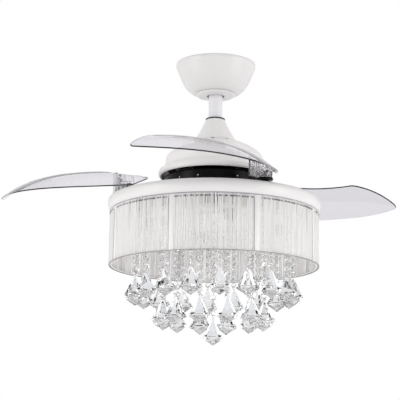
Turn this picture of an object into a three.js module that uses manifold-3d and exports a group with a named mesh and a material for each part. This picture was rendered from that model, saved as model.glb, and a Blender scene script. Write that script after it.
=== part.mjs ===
// Ceiling fan with folding clear blades, a thread drum shade and hanging crystals.
// Millimetres, +Z up. The ceiling is the plane z = 0 and the fan's axis is the Z axis.
// Azimuths count counter-clockwise from +X, seen from above.
import * as THREE from 'three';
import { mergeVertices } from 'three/addons/utils/BufferGeometryUtils.js';
import Module from 'manifold-3d';

const wasm = await Module();
wasm.setup();

// ---------------------------------------------------------------- sizes
const GAP = 0.3; // clearance between pieces that touch or turn in each other

// ceiling end
const canopyRadius = 77.5;
const canopyDepth = 60;
const canopyRim = 6; // straight band at the ceiling
const canopyWall = 1.2;
const canopyMouth = 21; // radius of the canopy's lower hole
const coverRadius = 38;
const coverDepth = 4.4;
const coverHole = 16.8;
const bracketWidth = 44;
const bracketSpan = 96;
const bracketPlate = 2.4;
const bracketLegAt = 33.5;
const bracketLegThick = 2.6;
const bracketHole = 2.6; // radius of the ceiling screws' holes
const bracketTongue = 56; // the tongue over the receiver box reaches this far back
const receiverHalf = 28;
const receiverDeep = 24;
const receiverFoot = 26; // below the ceiling
const ballRadius = 25;
const ballDepth = 33; // ball centre below the ceiling
const ballShare = 0.82; // the ball is cut flat at this share of its radius
const ballPin = 3;
const screwAt = 26; // from the axis to a canopy screw
const screwRadius = 2;
const screwHead = 3.8;

// downrod and coupling
const rodRadius = 13.35;
const rodWall = 1.8;
const rodShowing = 52; // from the canopy's bottom to the cone's top
const coneHeight = 43.5;
const coneTopRadius = 18.6;
const coneFootRadius = 39.6;
const coneWall = 1.3;
const yokeRadius = 18.2;
const yokeFlange = 30;
const yokeFlangeThick = 4;
const yokePinRadius = 3;
const yokePinTail = 22.5; // the pin's plain end stands out this far from the axis
const setScrewRadius = 2.5;
const rubberThick = 2;

// motor and its housing
const shaftRadius = 8.5;
const shaftWall = 2.8;
const shaftCollar = 16; // the pan is clamped between this collar and its nut
const shoulderRadius = 84;
const shoulderUp = 49.5; // above the brim
const sideRadius = 94.6;
const brimRadius = 109.2;
const housingHeight = 71.5;
const housingWall = 1.5;
const slotCount = 12;
const firstSlot = 265; // azimuth
const rotorRadius = 78;
const rotorShell = 3;
const bearingRadius = 17;
const bearingThick = 10;
const statorRadius = 62;
const statorHalf = 6;
const windingInner = 30;
const windingOuter = 56;
const windingTall = 3.4;
const hubBoss = 40; // the case's lower boss carries the blade hub

// blade carrier
const drumRadius = 97;
const drumWall = 3;
const plateDrop = 31; // plate's top below the housing's brim
const plateThick = 4;
const plateDiscRadius = 96;
const plateHole = 18;
const pivotRadius = 165; // from the axis to a blade's pivot
const pivotPin = 4;
const pinCap = 6.5;
const lobeRadius = 14;
const lobeRoot = 60; // a lobe leaves the plate's disc here, this far from the axis
const lobeRootHalf = 40;
const windowInner = 44;
const windowOuter = 78;
const windowHalf = 20; // half width of a window at its outer side
const bossTall = 11.5; // height of a holder's boss above the plate

// blades: the outline is laid out folded, as polar radii about the fan's axis
const bladeCount = 3;
const bladeThick = 2.6;
const heelRadius = 14.5;
const heelPastPivot = 6.5; // the middle of the round heel lies this much farther from the axis
const heelLead = 7; // degrees from the pivot back to the middle of the heel
const foldedOuter = 204.5;
const foldedInner = 110.5;
const outerSweep = 117; // degrees from the heel to the outer tip corner
const innerSweep = 103.5; // degrees from the heel to the inner tip corner
const outerGrow = 74; // degrees over which the outer edge reaches its full radius
const innerGrow = 41; // degrees over which the inner edge reaches its full radius
const tipRound = 8; // length of the eased corners at the tip
const bladeSpan = 300; // the heights below are stated over this length of the chord
const bladeArch = [154.6, -360.7, 408.3, -203.6]; // rise along the chord, powers 1 to 4 of the run
const bladePitch = [0.588, -1.392, 1.3]; // fall across it, powers 0 to 2 of the run
const bladeCamber = 7.9; // fall of both edges from the crest
const camberHalf = 50;
const camberCrest = 10; // the crest lies this far outside the chord
const bladeRootBelowBrim = 6.1; // blade's middle surface at its heel, below the brim
const firstPivot = -56; // azimuth of the front blade's pivot
const openings = [54.7, 107.8, 79.9]; // opened from the folded place: front, left, right
const holderHalf = 12.5;
const holderLength = 22; // from the pivot to the holder's square end
const holderReach = 38; // the square end reaches this far past the pivot under the broad side
const capRoom = 3; // free space round a pin's cap
const seatDrop = 1.3; // the holder's top lies this far below the blade's true underside
const springWire = 0.8;
const springCurls = 3;
const springRadius = 8;

// light pan, shade and its frame
const panDrop = 44.5; // pan's top below the brim
const panRadius = 203.5;
const panOverShade = 3.5; // the pan's rim stands out this far past the threads
const panHeight = 26;
const panSheet = 1.4;
const nutHalf = 13;
const shadeRadius = panRadius - panOverShade;
const shadeHeight = 103.5;
const threadWall = 1.6;
const threadRibs = 60;
const frameWire = 2.6;
const strutCount = 8;
const strutWidth = 10;
const strutThick = 1.4;

// crystal plate, lamps and crystals
const crystalPlateDrop = 41; // below the pan's top
const crystalPlateRadius = 172;
const crystalPlateSheet = 1.6;
const plateLip = 6.5;
const postAt = 60;
const postRadius = 4;
const lampCount = 4;
const lampCircle = 126;
const lampTurn = 13;
const lampHolderRadius = 10;
const lampHolderLength = 18;
const bulbRadius = 7;
const bulbLength = 38;
const beadPitch = 15;
const beadHalf = 5.2;
const beadThick = 2.7;
const beadNeck = 0.8;
const pendantHalf = 21;
const pendantUpper = 39; // from the apex to the girdle
const pendantLower = 14; // from the girdle to the tip
// each hoop comes in halves: its strings, the circle they hang on and the azimuth of the first
const tiers = [
  { name: 'outer_crystals', count: 18, circle: 150, beads: 7, turn: 274.3 },
  { name: 'inner_crystals', count: 12, circle: 98.6, beads: 10, turn: 285 },
];
const hoopThick = 2;
const hoopHalf = 3;
const hoopSteps = 16;
const centreBeads = 12;
const knobRadius = 2.4; // the centre string swings on this ball

// ---------------------------------------------------------------- levels and places
const heelCircle = pivotRadius + heelPastPivot;
const zCanopyFoot = -canopyDepth;
const zCoverFoot = zCanopyFoot - coverDepth;
const zBall = -ballDepth;
const zConeTop = zCanopyFoot - rodShowing;
const zSeam = zConeTop - coneHeight;
const zBrim = zSeam - housingHeight;
const zPlateTop = zBrim - plateDrop;
const zPlateFoot = zPlateTop - plateThick;
const zBladeRoot = zBrim - bladeRootBelowBrim;
const zPanTop = zBrim - panDrop;
const zPanFoot = zPanTop - panHeight;
const zShadeTop = zPanFoot - GAP;
const zShadeFoot = zShadeTop - shadeHeight;
const zCrystalPlate = zPanTop - crystalPlateDrop;
const zYokeFlange = zSeam + yokeFlangeThick + GAP;

// ---------------------------------------------------------------- helpers
const rad = THREE.MathUtils.degToRad;
const part = new THREE.Group();

// welds a geometry, drops collapsed faces and turns its faces outwards
function solid(geometry) {
  geometry.deleteAttribute('normal');
  geometry.deleteAttribute('uv');
  const welded = mergeVertices(geometry, 1e-4);
  const place = welded.getAttribute('position');
  const corner = (i) => new THREE.Vector3().fromBufferAttribute(place, i);
  const faces = [];
  let volume = 0;
  for (let i = 0; i < welded.index.count; i += 3) {
    const [a, b, c] = [0, 1, 2].map((k) => welded.index.getX(i + k));
    if (a === b || b === c || c === a) continue;
    faces.push([a, b, c]);
    volume += corner(a).dot(corner(b).cross(corner(c)));
  }
  const order = volume < 0 ? faces.map(([a, b, c]) => [a, c, b]) : faces;
  welded.setIndex(order.flat());
  return welded;
}

function toManifold(geometry) {
  return new wasm.Manifold(new wasm.Mesh({
    numProp: 3,
    vertProperties: new Float32Array(geometry.getAttribute('position').array),
    triVerts: new Uint32Array(geometry.index.array),
  }));
}

function fromManifold(body) {
  const mesh = body.getMesh();
  const geometry = new THREE.BufferGeometry();
  geometry.setAttribute('position', new THREE.BufferAttribute(new Float32Array(mesh.vertProperties), 3));
  geometry.setIndex(Array.from(mesh.triVerts));
  return solid(geometry);
}

function cut(base, ...tools) {
  return fromManifold(tools.reduce((body, tool) => body.subtract(toManifold(tool)), toManifold(base)));
}

function join(...pieces) {
  return fromManifold(pieces.map(toManifold).reduce((a, b) => a.add(b)));
}

// turns a profile of [radius, z] points about the Z axis
function turned(profile, segments) {
  const points = profile.map(([r, z]) => new THREE.Vector2(r, z));
  if (points[0].x > 0 || points.at(-1).x > 0) points.push(points[0].clone());
  return solid(new THREE.LatheGeometry(points, segments).rotateX(Math.PI / 2));
}

// a sheet of even thickness that follows an outer profile, turned about Z;
// its inner side leaves out the points whose numbers are in plain
function turnedShell(outer, wall, segments, plain = []) {
  const inner = outer.map(([r, z], i) => {
    const [r0, z0] = outer[Math.max(i - 1, 0)];
    const [r1, z1] = outer[Math.min(i + 1, outer.length - 1)];
    const length = Math.hypot(r1 - r0, z1 - z0);
    return [r + ((z1 - z0) / length) * wall, z - ((r1 - r0) / length) * wall];
  }).filter((_, i) => !plain.includes(i));
  return turned([...outer, ...inner.reverse()], segments);
}

function ring(innerRadius, outerRadius, zLow, zHigh, segments) {
  return turned([
    [innerRadius, zLow],
    [outerRadius, zLow],
    [outerRadius, zHigh],
    [innerRadius, zHigh],
  ], segments);
}

function disc(radius, zLow, zHigh, segments) {
  return turned([[0, zLow], [radius, zLow], [radius, zHigh], [0, zHigh]], segments);
}

function prism(outline, zLow, zHigh) {
  const shape = new THREE.Shape(outline.map(([x, y]) => new THREE.Vector2(x, y)));
  const depth = zHigh - zLow;
  return solid(new THREE.ExtrudeGeometry(shape, { depth, bevelEnabled: false }).translate(0, 0, zLow));
}

function block(x0, x1, y0, y1, z0, z1) {
  return prism([[x0, y0], [x1, y0], [x1, y1], [x0, y1]], z0, z1);
}

// closes a skin over a row of rings that have the same number of points;
// each end is a strip between the first and the second half of its ring
function skinned(rings) {
  const count = rings[0].length;
  const last = (rings.length - 1) * count;
  const index = [];
  for (let i = 0; i + 1 < rings.length; i += 1) {
    for (let j = 0; j < count; j += 1) {
      const k = (j + 1) % count;
      const [a, b] = [i * count + j, i * count + k];
      index.push(a, b, b + count, a, b + count, a + count);
    }
  }
  for (let [low, high] = [0, count - 1]; low + 1 < high; low += 1, high -= 1) {
    index.push(high, low + 1, low, last + low, last + low + 1, last + high);
    if (low + 2 < high) {
      index.push(high, high - 1, low + 1, last + low + 1, last + high - 1, last + high);
    }
  }
  const geometry = new THREE.BufferGeometry();
  geometry.setAttribute('position', new THREE.Float32BufferAttribute(rings.flat(2), 3));
  geometry.setIndex(index);
  return solid(geometry);
}

function placed(geometry, x, y, z, degrees = 0) {
  return geometry.clone().rotateZ(rad(degrees)).translate(x, y, z);
}

function around(geometry, count, start = 0) {
  return Array.from({ length: count }, (_, i) => geometry.clone().rotateZ(rad(start + (i * 360) / count)));
}

function arc(centreR, centreZ, halfR, halfZ, from, to, steps) {
  return Array.from({ length: steps + 1 }, (_, i) => {
    const angle = rad(from + ((to - from) * i) / steps);
    return [centreR + halfR * Math.cos(angle), centreZ + halfZ * Math.sin(angle)];
  });
}

function add(name, geometry, colour, roughness, metalness = 0, opacity = 1) {
  const material = new THREE.MeshStandardMaterial({ color: colour, roughness, metalness });
  material.opacity = opacity;
  material.transparent = opacity < 1;
  geometry.computeVertexNormals();
  const mesh = new THREE.Mesh(geometry, material);
  mesh.name = name;
  part.add(mesh);
}

const WHITE = 0xe6e3e0;
const STEEL = 0xb9bcc0;
const BLACK = 0x141416;
const CLEAR = 0xd9d5dc;
const CRYSTAL = 0xf2f4f6;

// ---------------------------------------------------------------- ceiling end
// hanger bracket: plate against the ceiling, two legs and the ring that seats the ball
const seatTop = zBall - 13;
const seatFoot = zBall - 19;
const seatPocket = ballRadius + GAP;
const seatInner = (z) => Math.sqrt(seatPocket ** 2 - (z - zBall) ** 2);
const seatOuter = bracketLegAt + 2;
const seat = turned([
  [seatInner(seatFoot), seatFoot],
  [seatOuter, seatFoot],
  [seatOuter, seatTop],
  [seatInner(seatTop), seatTop],
  [seatInner((seatTop + seatFoot) / 2), (seatTop + seatFoot) / 2],
], 22);
const legHalf = bracketWidth / 2 - 8;
const legs = [-1, 1].map((side) => block(
  side * bracketLegAt - bracketLegThick / 2,
  side * bracketLegAt + bracketLegThick / 2,
  -legHalf,
  legHalf,
  seatTop - 2,
  -bracketPlate / 2,
));
const halfWidth = bracketWidth / 2;
const halfSpan = bracketSpan / 2;
const tongue = block(-halfWidth, halfWidth, halfWidth - 1, bracketTongue, -bracketPlate, 0);
const topPlate = block(-halfSpan, halfSpan, -halfWidth, halfWidth, -bracketPlate, 0);
const ceilingHole = disc(bracketHole, -5, 5, 12);
const ceilingHoles = [-1, 1].map((side) => placed(ceilingHole, side * (halfSpan - 7), 0, 0));
const canopyScrewHole = disc(screwRadius + GAP, zCoverFoot - 10, seatTop + 10, 10);
const canopyScrewHoles = [-1, 1].map((side) => placed(canopyScrewHole, 0, side * screwAt, 0));
add('ceiling_bracket', cut(join(topPlate, tongue, seat, ...legs), ...ceilingHoles, ...canopyScrewHoles),
  STEEL, 0.45, 0.9);

// receiver box under the bracket's tongue
const receiverAt = halfWidth + 3;
const box = block(
  -receiverHalf,
  receiverHalf,
  receiverAt,
  receiverAt + receiverDeep,
  -receiverFoot,
  -bracketPlate - GAP,
);
add('receiver_box', box, 0xdedcd8, 0.5);

// canopy bowl
const bowlTaper = canopyRadius - 11.5;
const bowlFlat = coverRadius + 2;
const bowlBend = 0.63 * canopyDepth;
const bowl = [
  [canopyRadius, -GAP],
  [canopyRadius, -canopyRim],
  [canopyRadius - 4.6, -0.3 * canopyDepth],
  ...arc(bowlFlat, -bowlBend, bowlTaper - bowlFlat, canopyDepth - bowlBend, 0, -90, 4),
  [canopyMouth, zCanopyFoot],
];
add('canopy', cut(turnedShell(bowl, canopyWall, 28, [2, 4, 6]), ...canopyScrewHoles), WHITE, 0.38);

// two screws from under the canopy into the bracket's seat ring
const screw = turned([
  [0, zCanopyFoot - GAP - 2],
  [screwHead - 0.4, zCanopyFoot - GAP - 2],
  [screwHead, zCanopyFoot - GAP],
  [screwRadius, zCanopyFoot - GAP],
  [screwRadius, seatTop - 1],
  [0, seatTop - 1],
], 10);
add('canopy_screw_rear', placed(screw, 0, screwAt, 0), STEEL, 0.35, 0.9);
add('canopy_screw_front', placed(screw, 0, -screwAt, 0), STEEL, 0.35, 0.9);

// cover ring that hides the screws and leaves a dark gap round the rod
const coverSheet = 1.2;
add('canopy_cover_ring', turned([
  [coverRadius, zCanopyFoot - GAP],
  [coverRadius - 0.6, zCoverFoot + 1.8],
  [coverRadius - 4, zCoverFoot],
  [coverHole, zCoverFoot],
  [coverHole, zCoverFoot + coverSheet],
  [coverRadius - 2, zCoverFoot + coverSheet + 1.2],
  [coverRadius - 2, zCanopyFoot - GAP],
], 26), WHITE, 0.4);

// ---------------------------------------------------------------- hanger ball and downrod
const ballTop = zBall + ballShare * ballRadius;
const ballFoot = zBall - ballShare * ballRadius;
const ballProfile = Array.from({ length: 6 }, (_, i) => {
  const z = ballFoot + ((ballTop - ballFoot) * i) / 5;
  return [Math.sqrt(ballRadius ** 2 - (z - zBall) ** 2), z];
});
const rodBore = rodRadius + GAP;
const ballPinZ = zBall + 9;
const acrossY = (radius, half, z, segments = 12) => disc(radius, -half, half, segments).rotateX(Math.PI / 2)
  .translate(0, 0, z);
const ballBody = turned([...ballProfile, [rodBore, ballTop], [rodBore, ballFoot]], 16);
const ballPinHalf = Math.sqrt(ballRadius ** 2 - (ballPinZ - zBall + ballPin + 1) ** 2) - 0.5;
add('hanger_ball', cut(ballBody, acrossY(ballPin + GAP, ballRadius, ballPinZ)), 0x2a2a2c, 0.45);
add('ball_pin', acrossY(ballPin, ballPinHalf, ballPinZ), STEEL, 0.3, 0.9);

const rodTop = ballTop - 1;
const rodFoot = zYokeFlange + 4;
const yokePinZ = rodFoot + 16;
const rod = ring(rodRadius - rodWall, rodRadius, rodFoot, rodTop, 20);
add('downrod', cut(
  rod,
  acrossY(ballPin + GAP, rodRadius + 2, ballPinZ),
  acrossY(yokePinRadius + GAP, rodRadius + 2, yokePinZ),
), 0xe2e2e4, 0.35);

// ---------------------------------------------------------------- coupling
const yokeTop = zConeTop - 4;
const setScrewZ = rodFoot + 7;
const yoke = turned([
  [shaftRadius + GAP, zYokeFlange - yokeFlangeThick],
  [yokeFlange, zYokeFlange - yokeFlangeThick],
  [yokeFlange, zYokeFlange],
  [yokeRadius, zYokeFlange + 1],
  [yokeRadius, yokeTop - 9],
  [rodBore + 2.2, yokeTop],
  [rodBore, yokeTop],
  [rodBore, rodFoot - GAP],
  [shaftRadius + GAP, rodFoot - GAP],
], 16);
const acrossX = (radius, from, to, z) => disc(radius, from, to, 10).rotateY(Math.PI / 2).translate(0, 0, z);
add('coupling_yoke', cut(
  yoke,
  acrossY(yokePinRadius + GAP, yokeFlange + 5, yokePinZ),
  acrossX(setScrewRadius + GAP, 0, yokeFlange, setScrewZ),
), 0xc9c9ca, 0.5, 0.4);
const yokePin = turned([
  [0, -yokePinTail],
  [yokePinRadius, -yokePinTail],
  [yokePinRadius, yokeRadius + GAP],
  [5, yokeRadius + GAP],
  [5, yokeRadius + 2.6],
  [0, yokeRadius + 2.6],
], 12).rotateX(Math.PI / 2).translate(0, 0, yokePinZ);
add('yoke_pin', yokePin, STEEL, 0.3, 0.9);
add('yoke_set_screw', acrossX(setScrewRadius, rodRadius + GAP, yokeRadius + 2, setScrewZ), STEEL, 0.3, 0.9);

// cone that covers the coupling, with a rubber ring on its top
const coneFlare = coneFootRadius - coneTopRadius;
const cone = [
  [coneTopRadius - 2.2, zConeTop],
  [coneTopRadius, zConeTop - 1.4],
  [coneTopRadius + 0.3 * coneFlare, zSeam + 0.68 * coneHeight],
  [coneTopRadius + 0.58 * coneFlare, zSeam + 0.42 * coneHeight],
  [coneTopRadius + 0.84 * coneFlare, zSeam + 0.22 * coneHeight],
  [coneFootRadius, zSeam + 3],
  [coneFootRadius, zSeam + GAP],
];
add('coupling_cone', turned([
  ...cone,
  [coneFootRadius - coneWall, zSeam + GAP],
  ...[cone[4], cone[2]].map(([r, z]) => [r - coneWall, z - 0.3]),
  [rodBore + 1.6, zConeTop - coneWall - 0.6],
  [rodBore + 1.6, zConeTop],
], 26), WHITE, 0.38);
add('rubber_ring', turned([
  [rodBore, zConeTop + GAP],
  [coneTopRadius + 0.4, zConeTop + GAP],
  [coneTopRadius + 0.2, zConeTop + GAP + rubberThick],
  [rodBore, zConeTop + GAP + rubberThick],
], 18), BLACK, 0.7);

// ---------------------------------------------------------------- motor housing
const bend = 12.5; // the shoulder turns down into the side over this height
const brimUp = 18.5; // height of the rolled brim
const zShoulder = zBrim + shoulderUp;
const housingProfile = [
  [yokeFlange - 8, zSeam],
  [coneFootRadius + 0.8, zSeam],
  [57, zSeam - 7],
  [71, zSeam - 13.6],
  [shoulderRadius, zShoulder],
  [shoulderRadius + 6.4, zShoulder - 0.45 * bend],
  [sideRadius, zShoulder - bend],
  [sideRadius + 1.6, zBrim + brimUp + 1.5],
  [sideRadius + 4, zBrim + brimUp - 1.5],
  [brimRadius - 3, zBrim + 13],
  [brimRadius, zBrim + 8.5],
  [brimRadius - 0.2, zBrim + 3.5],
  [brimRadius - 2.6, zBrim],
];
const slot = prism([[43, -2.4], [48.6, -3.2], [48.6, 3.2], [43, 2.4]], zSeam - 14, zSeam + 2);
const housingShell = turnedShell(housingProfile, housingWall, 30, [2, 3, 5, 10, 11]);
add('motor_housing', cut(housingShell, ...around(slot, slotCount, firstSlot)), WHITE, 0.36);

// ---------------------------------------------------------------- motor
const zRotorTop = zSeam - 22;
const zRotorFoot = zBrim + 9;
const zRotorSplit = (zRotorTop + zRotorFoot) / 2;
const shaftFoot = zPanTop - 12;
const shaft = turned([
  [shaftRadius - shaftWall, shaftFoot],
  [shaftRadius, shaftFoot],
  [shaftRadius, zPanTop + GAP],
  [shaftCollar, zPanTop + GAP],
  [shaftCollar, zPanTop + GAP + 3],
  [shaftRadius, zPanTop + GAP + 3],
  [shaftRadius, rodFoot - 1],
  [shaftRadius - shaftWall, rodFoot - 1],
], 16);
add('motor_shaft', shaft, STEEL, 0.3, 0.9);

const shaftBore = shaftRadius + GAP;
const bearingPocket = bearingRadius + GAP;
const zUpperBearing = zRotorTop - 2;
const zLowerBearing = zRotorFoot + 2 + bearingThick;
const bearing = (zTop) => ring(shaftBore, bearingRadius, zTop - bearingThick, zTop, 16);
add('upper_bearing', bearing(zUpperBearing), STEEL, 0.25, 0.9);
add('lower_bearing', bearing(zLowerBearing), STEEL, 0.25, 0.9);

const bossRadius = bearingPocket + 4;
const rotorInner = rotorRadius - rotorShell;
add('rotor_case_top', turned([
  [shaftBore + 2, zRotorTop],
  [bossRadius, zRotorTop],
  [bossRadius, zRotorTop - 4],
  [rotorRadius - 8, zRotorTop - 6],
  [rotorRadius, zRotorTop - 11],
  [rotorRadius, zRotorSplit + GAP / 2],
  [rotorInner, zRotorSplit + GAP / 2],
  [rotorInner, zRotorTop - 12],
  [rotorInner - 7, zRotorTop - 8.5],
  [bossRadius, zRotorTop - 7],
  [bossRadius, zUpperBearing - bearingThick],
  [bearingPocket, zUpperBearing - bearingThick],
  [bearingPocket, zUpperBearing + GAP],
  [shaftBore + 2, zUpperBearing + GAP],
], 18), 0xaeb0b3, 0.45, 0.8);
add('rotor_case_bottom', turned([
  [shaftBore + 2, zBrim - 2],
  [hubBoss, zBrim - 2],
  [hubBoss, zRotorFoot],
  [rotorRadius - 5, zRotorFoot],
  [rotorRadius, zRotorFoot + 5],
  [rotorRadius, zRotorSplit - GAP / 2],
  [rotorInner, zRotorSplit - GAP / 2],
  [rotorInner, zRotorFoot + 6],
  [bossRadius, zRotorFoot + 4],
  [bossRadius, zLowerBearing],
  [bearingPocket, zLowerBearing],
  [bearingPocket, zLowerBearing - bearingThick - GAP],
  [shaftBore + 2, zLowerBearing - bearingThick - GAP],
], 18), 0x2a2a2c, 0.5, 0.5);
const stator = ring(shaftBore, statorRadius, zRotorSplit - statorHalf, zRotorSplit + statorHalf, 20);
add('stator_core', stator, 0x6c6e72, 0.5, 0.7);
const winding = (zLow) => ring(windingInner, windingOuter, zLow, zLow + windingTall, 18);
add('lower_windings', winding(zRotorSplit - statorHalf - GAP - windingTall), 0xb56b3a, 0.4, 0.7);
add('upper_windings', winding(zRotorSplit + statorHalf + GAP), 0xb56b3a, 0.4, 0.7);

// ---------------------------------------------------------------- blade carrier
const zDrumTop = zBrim - 2 - GAP;
add('blade_hub', turned([
  [shaftBore + 2, zDrumTop - drumWall],
  [shaftBore + 2, zDrumTop],
  [drumRadius - 2, zDrumTop],
  [drumRadius, zDrumTop - 2],
  [drumRadius, zPlateTop + GAP],
  [drumRadius - drumWall, zPlateTop + GAP],
  [drumRadius - drumWall, zDrumTop - drumWall],
], 30), BLACK, 0.45);

// lobed plate under the blades, one lobe to each pivot
const plateDisc = disc(plateDiscRadius, zPlateFoot, zPlateTop, 32);
const lobeArm = prism([
  [lobeRoot, -lobeRootHalf],
  [pivotRadius - 2, -lobeRadius],
  [pivotRadius - 2, lobeRadius],
  [lobeRoot, lobeRootHalf],
], zPlateFoot, zPlateTop);
const lobeEnd = placed(disc(lobeRadius, zPlateFoot, zPlateTop, 16), pivotRadius, 0, 0);
const pinHole = placed(disc(pivotPin + GAP, zPlateFoot - 5, zPlateTop + 5, 12), pivotRadius, 0, 0);
const windowNarrow = 0.7 * windowHalf;
const window = prism([
  [windowInner, -windowNarrow],
  [windowOuter, -windowHalf],
  [windowOuter, windowHalf],
  [windowInner, windowNarrow],
], zPlateFoot - 5, zPlateTop + 5);
const lobes = [lobeArm, lobeEnd].flatMap((shape) => around(shape, bladeCount, firstPivot));
const plateBlank = join(plateDisc, ...lobes);
add('blade_plate', cut(
  plateBlank,
  disc(plateHole, zPlateFoot - 5, zPlateTop + 5, 24),
  ...around(pinHole, bladeCount, firstPivot),
  ...around(window, bladeCount, firstPivot + 180 / bladeCount),
), BLACK, 0.45);

// ---------------------------------------------------------------- blades
const polar = (radius, degrees) => [radius * Math.cos(rad(degrees)), radius * Math.sin(rad(degrees))];
const tipCorner = polar(foldedOuter, -outerSweep);
const chord = [tipCorner[0] - heelCircle, tipCorner[1]];
const chordLength = Math.hypot(...chord);
const along = [chord[0] / chordLength, chord[1] / chordLength];
const outward = [-along[1], along[0]];
const powers = (terms, t) => terms.reduce((sum, term, i) => sum + term * t ** i, 0);

// height of the blade's middle surface over a point of the outline
function bladeHeight(x, y) {
  const run = (x - heelCircle) * along[0] + y * along[1];
  const side = (x - heelCircle) * outward[0] + y * outward[1];
  const share = Math.max(run, 0) / bladeSpan;
  const camber = bladeCamber * ((side - camberCrest) / camberHalf) ** 2;
  return zBladeRoot + powers([0, ...bladeArch], share) - powers(bladePitch, share) * side - camber;
}

const ease = (t) => t * t * (3 - 2 * t);
const clamp01 = (t) => Math.min(Math.max(t, 0), 1);
const outerEdge = (degrees) => {
  const heel = heelCircle + heelRadius;
  return heel + (foldedOuter - heel) * Math.sin((Math.PI / 2) * clamp01(degrees / outerGrow)) ** 1.5;
};
const innerEdge = (degrees) => {
  const heel = heelCircle - heelRadius;
  return heel + (foldedInner - heel) * ease(clamp01(degrees / innerGrow));
};

// rows of inner, middle and outer points from the round heel to the slanting tip
const heelAngles = [20, 50, 75];
const bladeSteps = 15;
function bladeRows() {
  const edges = heelAngles.map((angle) => {
    const [s, c] = [Math.sin(rad(angle)) * heelRadius, Math.cos(rad(angle)) * heelRadius];
    return [[heelCircle - s, c], [heelCircle + s, c]];
  });
  for (let i = 0; i <= bladeSteps; i += 1) {
    const [a, b] = [(outerSweep * i) / bladeSteps, (innerSweep * i) / bladeSteps];
    edges.push([polar(innerEdge(b), -b), polar(outerEdge(a), -a)]);
  }
  // the last row is drawn in from both corners, and the one before it gives them their room
  const [inner, outer] = edges.at(-1);
  const width = Math.hypot(outer[0] - inner[0], outer[1] - inner[1]);
  const blend = (t) => [inner[0] + (outer[0] - inner[0]) * t, inner[1] + (outer[1] - inner[1]) * t];
  const back = 0.5 * tipRound;
  edges[edges.length - 1] = [
    polar(innerEdge(innerSweep), (back / foldedInner) * (180 / Math.PI) - innerSweep),
    polar(outerEdge(outerSweep), (back / foldedOuter) * (180 / Math.PI) - outerSweep),
  ];
  edges.push([blend(tipRound / width), blend(1 - tipRound / width)]);
  return edges.map(([from, to]) => [0, 0.5, 1].map((t) => [
    from[0] + (to[0] - from[0]) * t,
    from[1] + (to[1] - from[1]) * t,
  ]));
}

const bladeRings = bladeRows().map((row) => {
  const middle = row.map(([x, y]) => [x, y, bladeHeight(x, y)]);
  const top = middle.map(([x, y, z]) => [x, y, z + bladeThick / 2]);
  const foot = middle.map(([x, y, z]) => [x, y, z - bladeThick / 2]).reverse();
  return [...top, ...foot];
});
const foldedBlade = skinned(bladeRings).rotateZ(rad(heelLead));

// clear holder: a wedge that widens from the pin to its square end and fills the height between
// the plate and the pitched blade, with a well round the pin's cap
const zBossFoot = zPlateTop + GAP;
const zBossTop = zPlateTop + bossTall;
const underBlade = (x, y) => {
  const [c, s] = [Math.cos(rad(heelLead)), Math.sin(rad(heelLead))];
  return bladeHeight(x * c + y * s, y * c - x * s) - bladeThick / 2 - seatDrop;
};
const holderRings = [-11.7, -8.7, -4, 3, 12, holderLength].map((run) => {
  const half = Math.sqrt(holderHalf ** 2 - Math.min(run, 0) ** 2);
  const inner = half + (holderReach - holderHalf) * (Math.max(run, 0) / holderLength);
  const corners = [-inner, half].map((side) => [pivotRadius + side, -run]);
  const feet = corners.map(([x, y]) => [x, y, zBossFoot]);
  const tops = corners.map(([x, y]) => [x, y, underBlade(x, y)]).reverse();
  return [...feet, ...tops];
});
const capWell = placed(disc(pinCap + capRoom, zBossTop, zBrim + 20, 12), pivotRadius, 0, 0);
const pinBore = placed(disc(pivotPin + GAP, zPlateFoot - 20, zBrim + 20, 12), pivotRadius, 0, 0);
const springPocket = placed(disc(springRadius + 2.6, zPlateTop - 5, zBossFoot + 9, 12), pivotRadius, 0, 0);
const foldedHolder = cut(skinned(holderRings), capWell, pinBore, springPocket);

// pivot pin with a black cap on the boss and a riveted head under the plate
const zCap = zBossTop + GAP;
const foldedPin = placed(turned([
  [0, zPlateFoot - GAP - 2],
  [pinCap - 1, zPlateFoot - GAP - 2],
  [pinCap, zPlateFoot - GAP],
  [pivotPin, zPlateFoot - GAP],
  [pivotPin, zCap],
  [pinCap, zCap],
  [pinCap, zCap + 1.4],
  [pinCap - 1.4, zCap + 2.4],
  [0, zCap + 2.4],
], 12), pivotRadius, 0, 0);

// torsion spring in the holder's pocket: an unbroken coil with short straight ends
const springPitch = 2 * springWire + 0.7;
const springSteps = springCurls * 8;
const springFoot = zPlateTop + GAP + springWire;
const coilPoint = (i) => {
  const turn = (i / 8) * 2 * Math.PI;
  const z = springFoot + (springPitch * i) / 8;
  return [springRadius * Math.cos(turn), springRadius * Math.sin(turn), z, turn];
};
const springRing = ([x, y, z, turn]) => Array.from({ length: 5 }, (_, k) => {
  const angle = (k / 5) * 2 * Math.PI;
  const out = springWire * Math.cos(angle);
  return [
    pivotRadius + x + out * Math.cos(turn),
    y + out * Math.sin(turn),
    z + springWire * Math.sin(angle),
  ];
});
const coil = Array.from({ length: springSteps + 1 }, (_, i) => coilPoint(i));
const straight = (point, way) => {
  const [x, y, z, turn] = point;
  const run = way * 2 * springWire;
  return [x - run * Math.sin(turn), y + run * Math.cos(turn), z, turn];
};
const foldedSpring = skinned([straight(coil[0], -1), ...coil, straight(coil.at(-1), 1)].map(springRing));
const springSelfGap = Math.min(...coil.flatMap((a, i) => coil.slice(i + 6)
  .map((b) => Math.hypot(a[0] - b[0], a[1] - b[1], a[2] - b[2]) - 2 * springWire)));
console.log(`least gap of the spring to itself ${springSelfGap.toFixed(2)} mm`);

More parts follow.
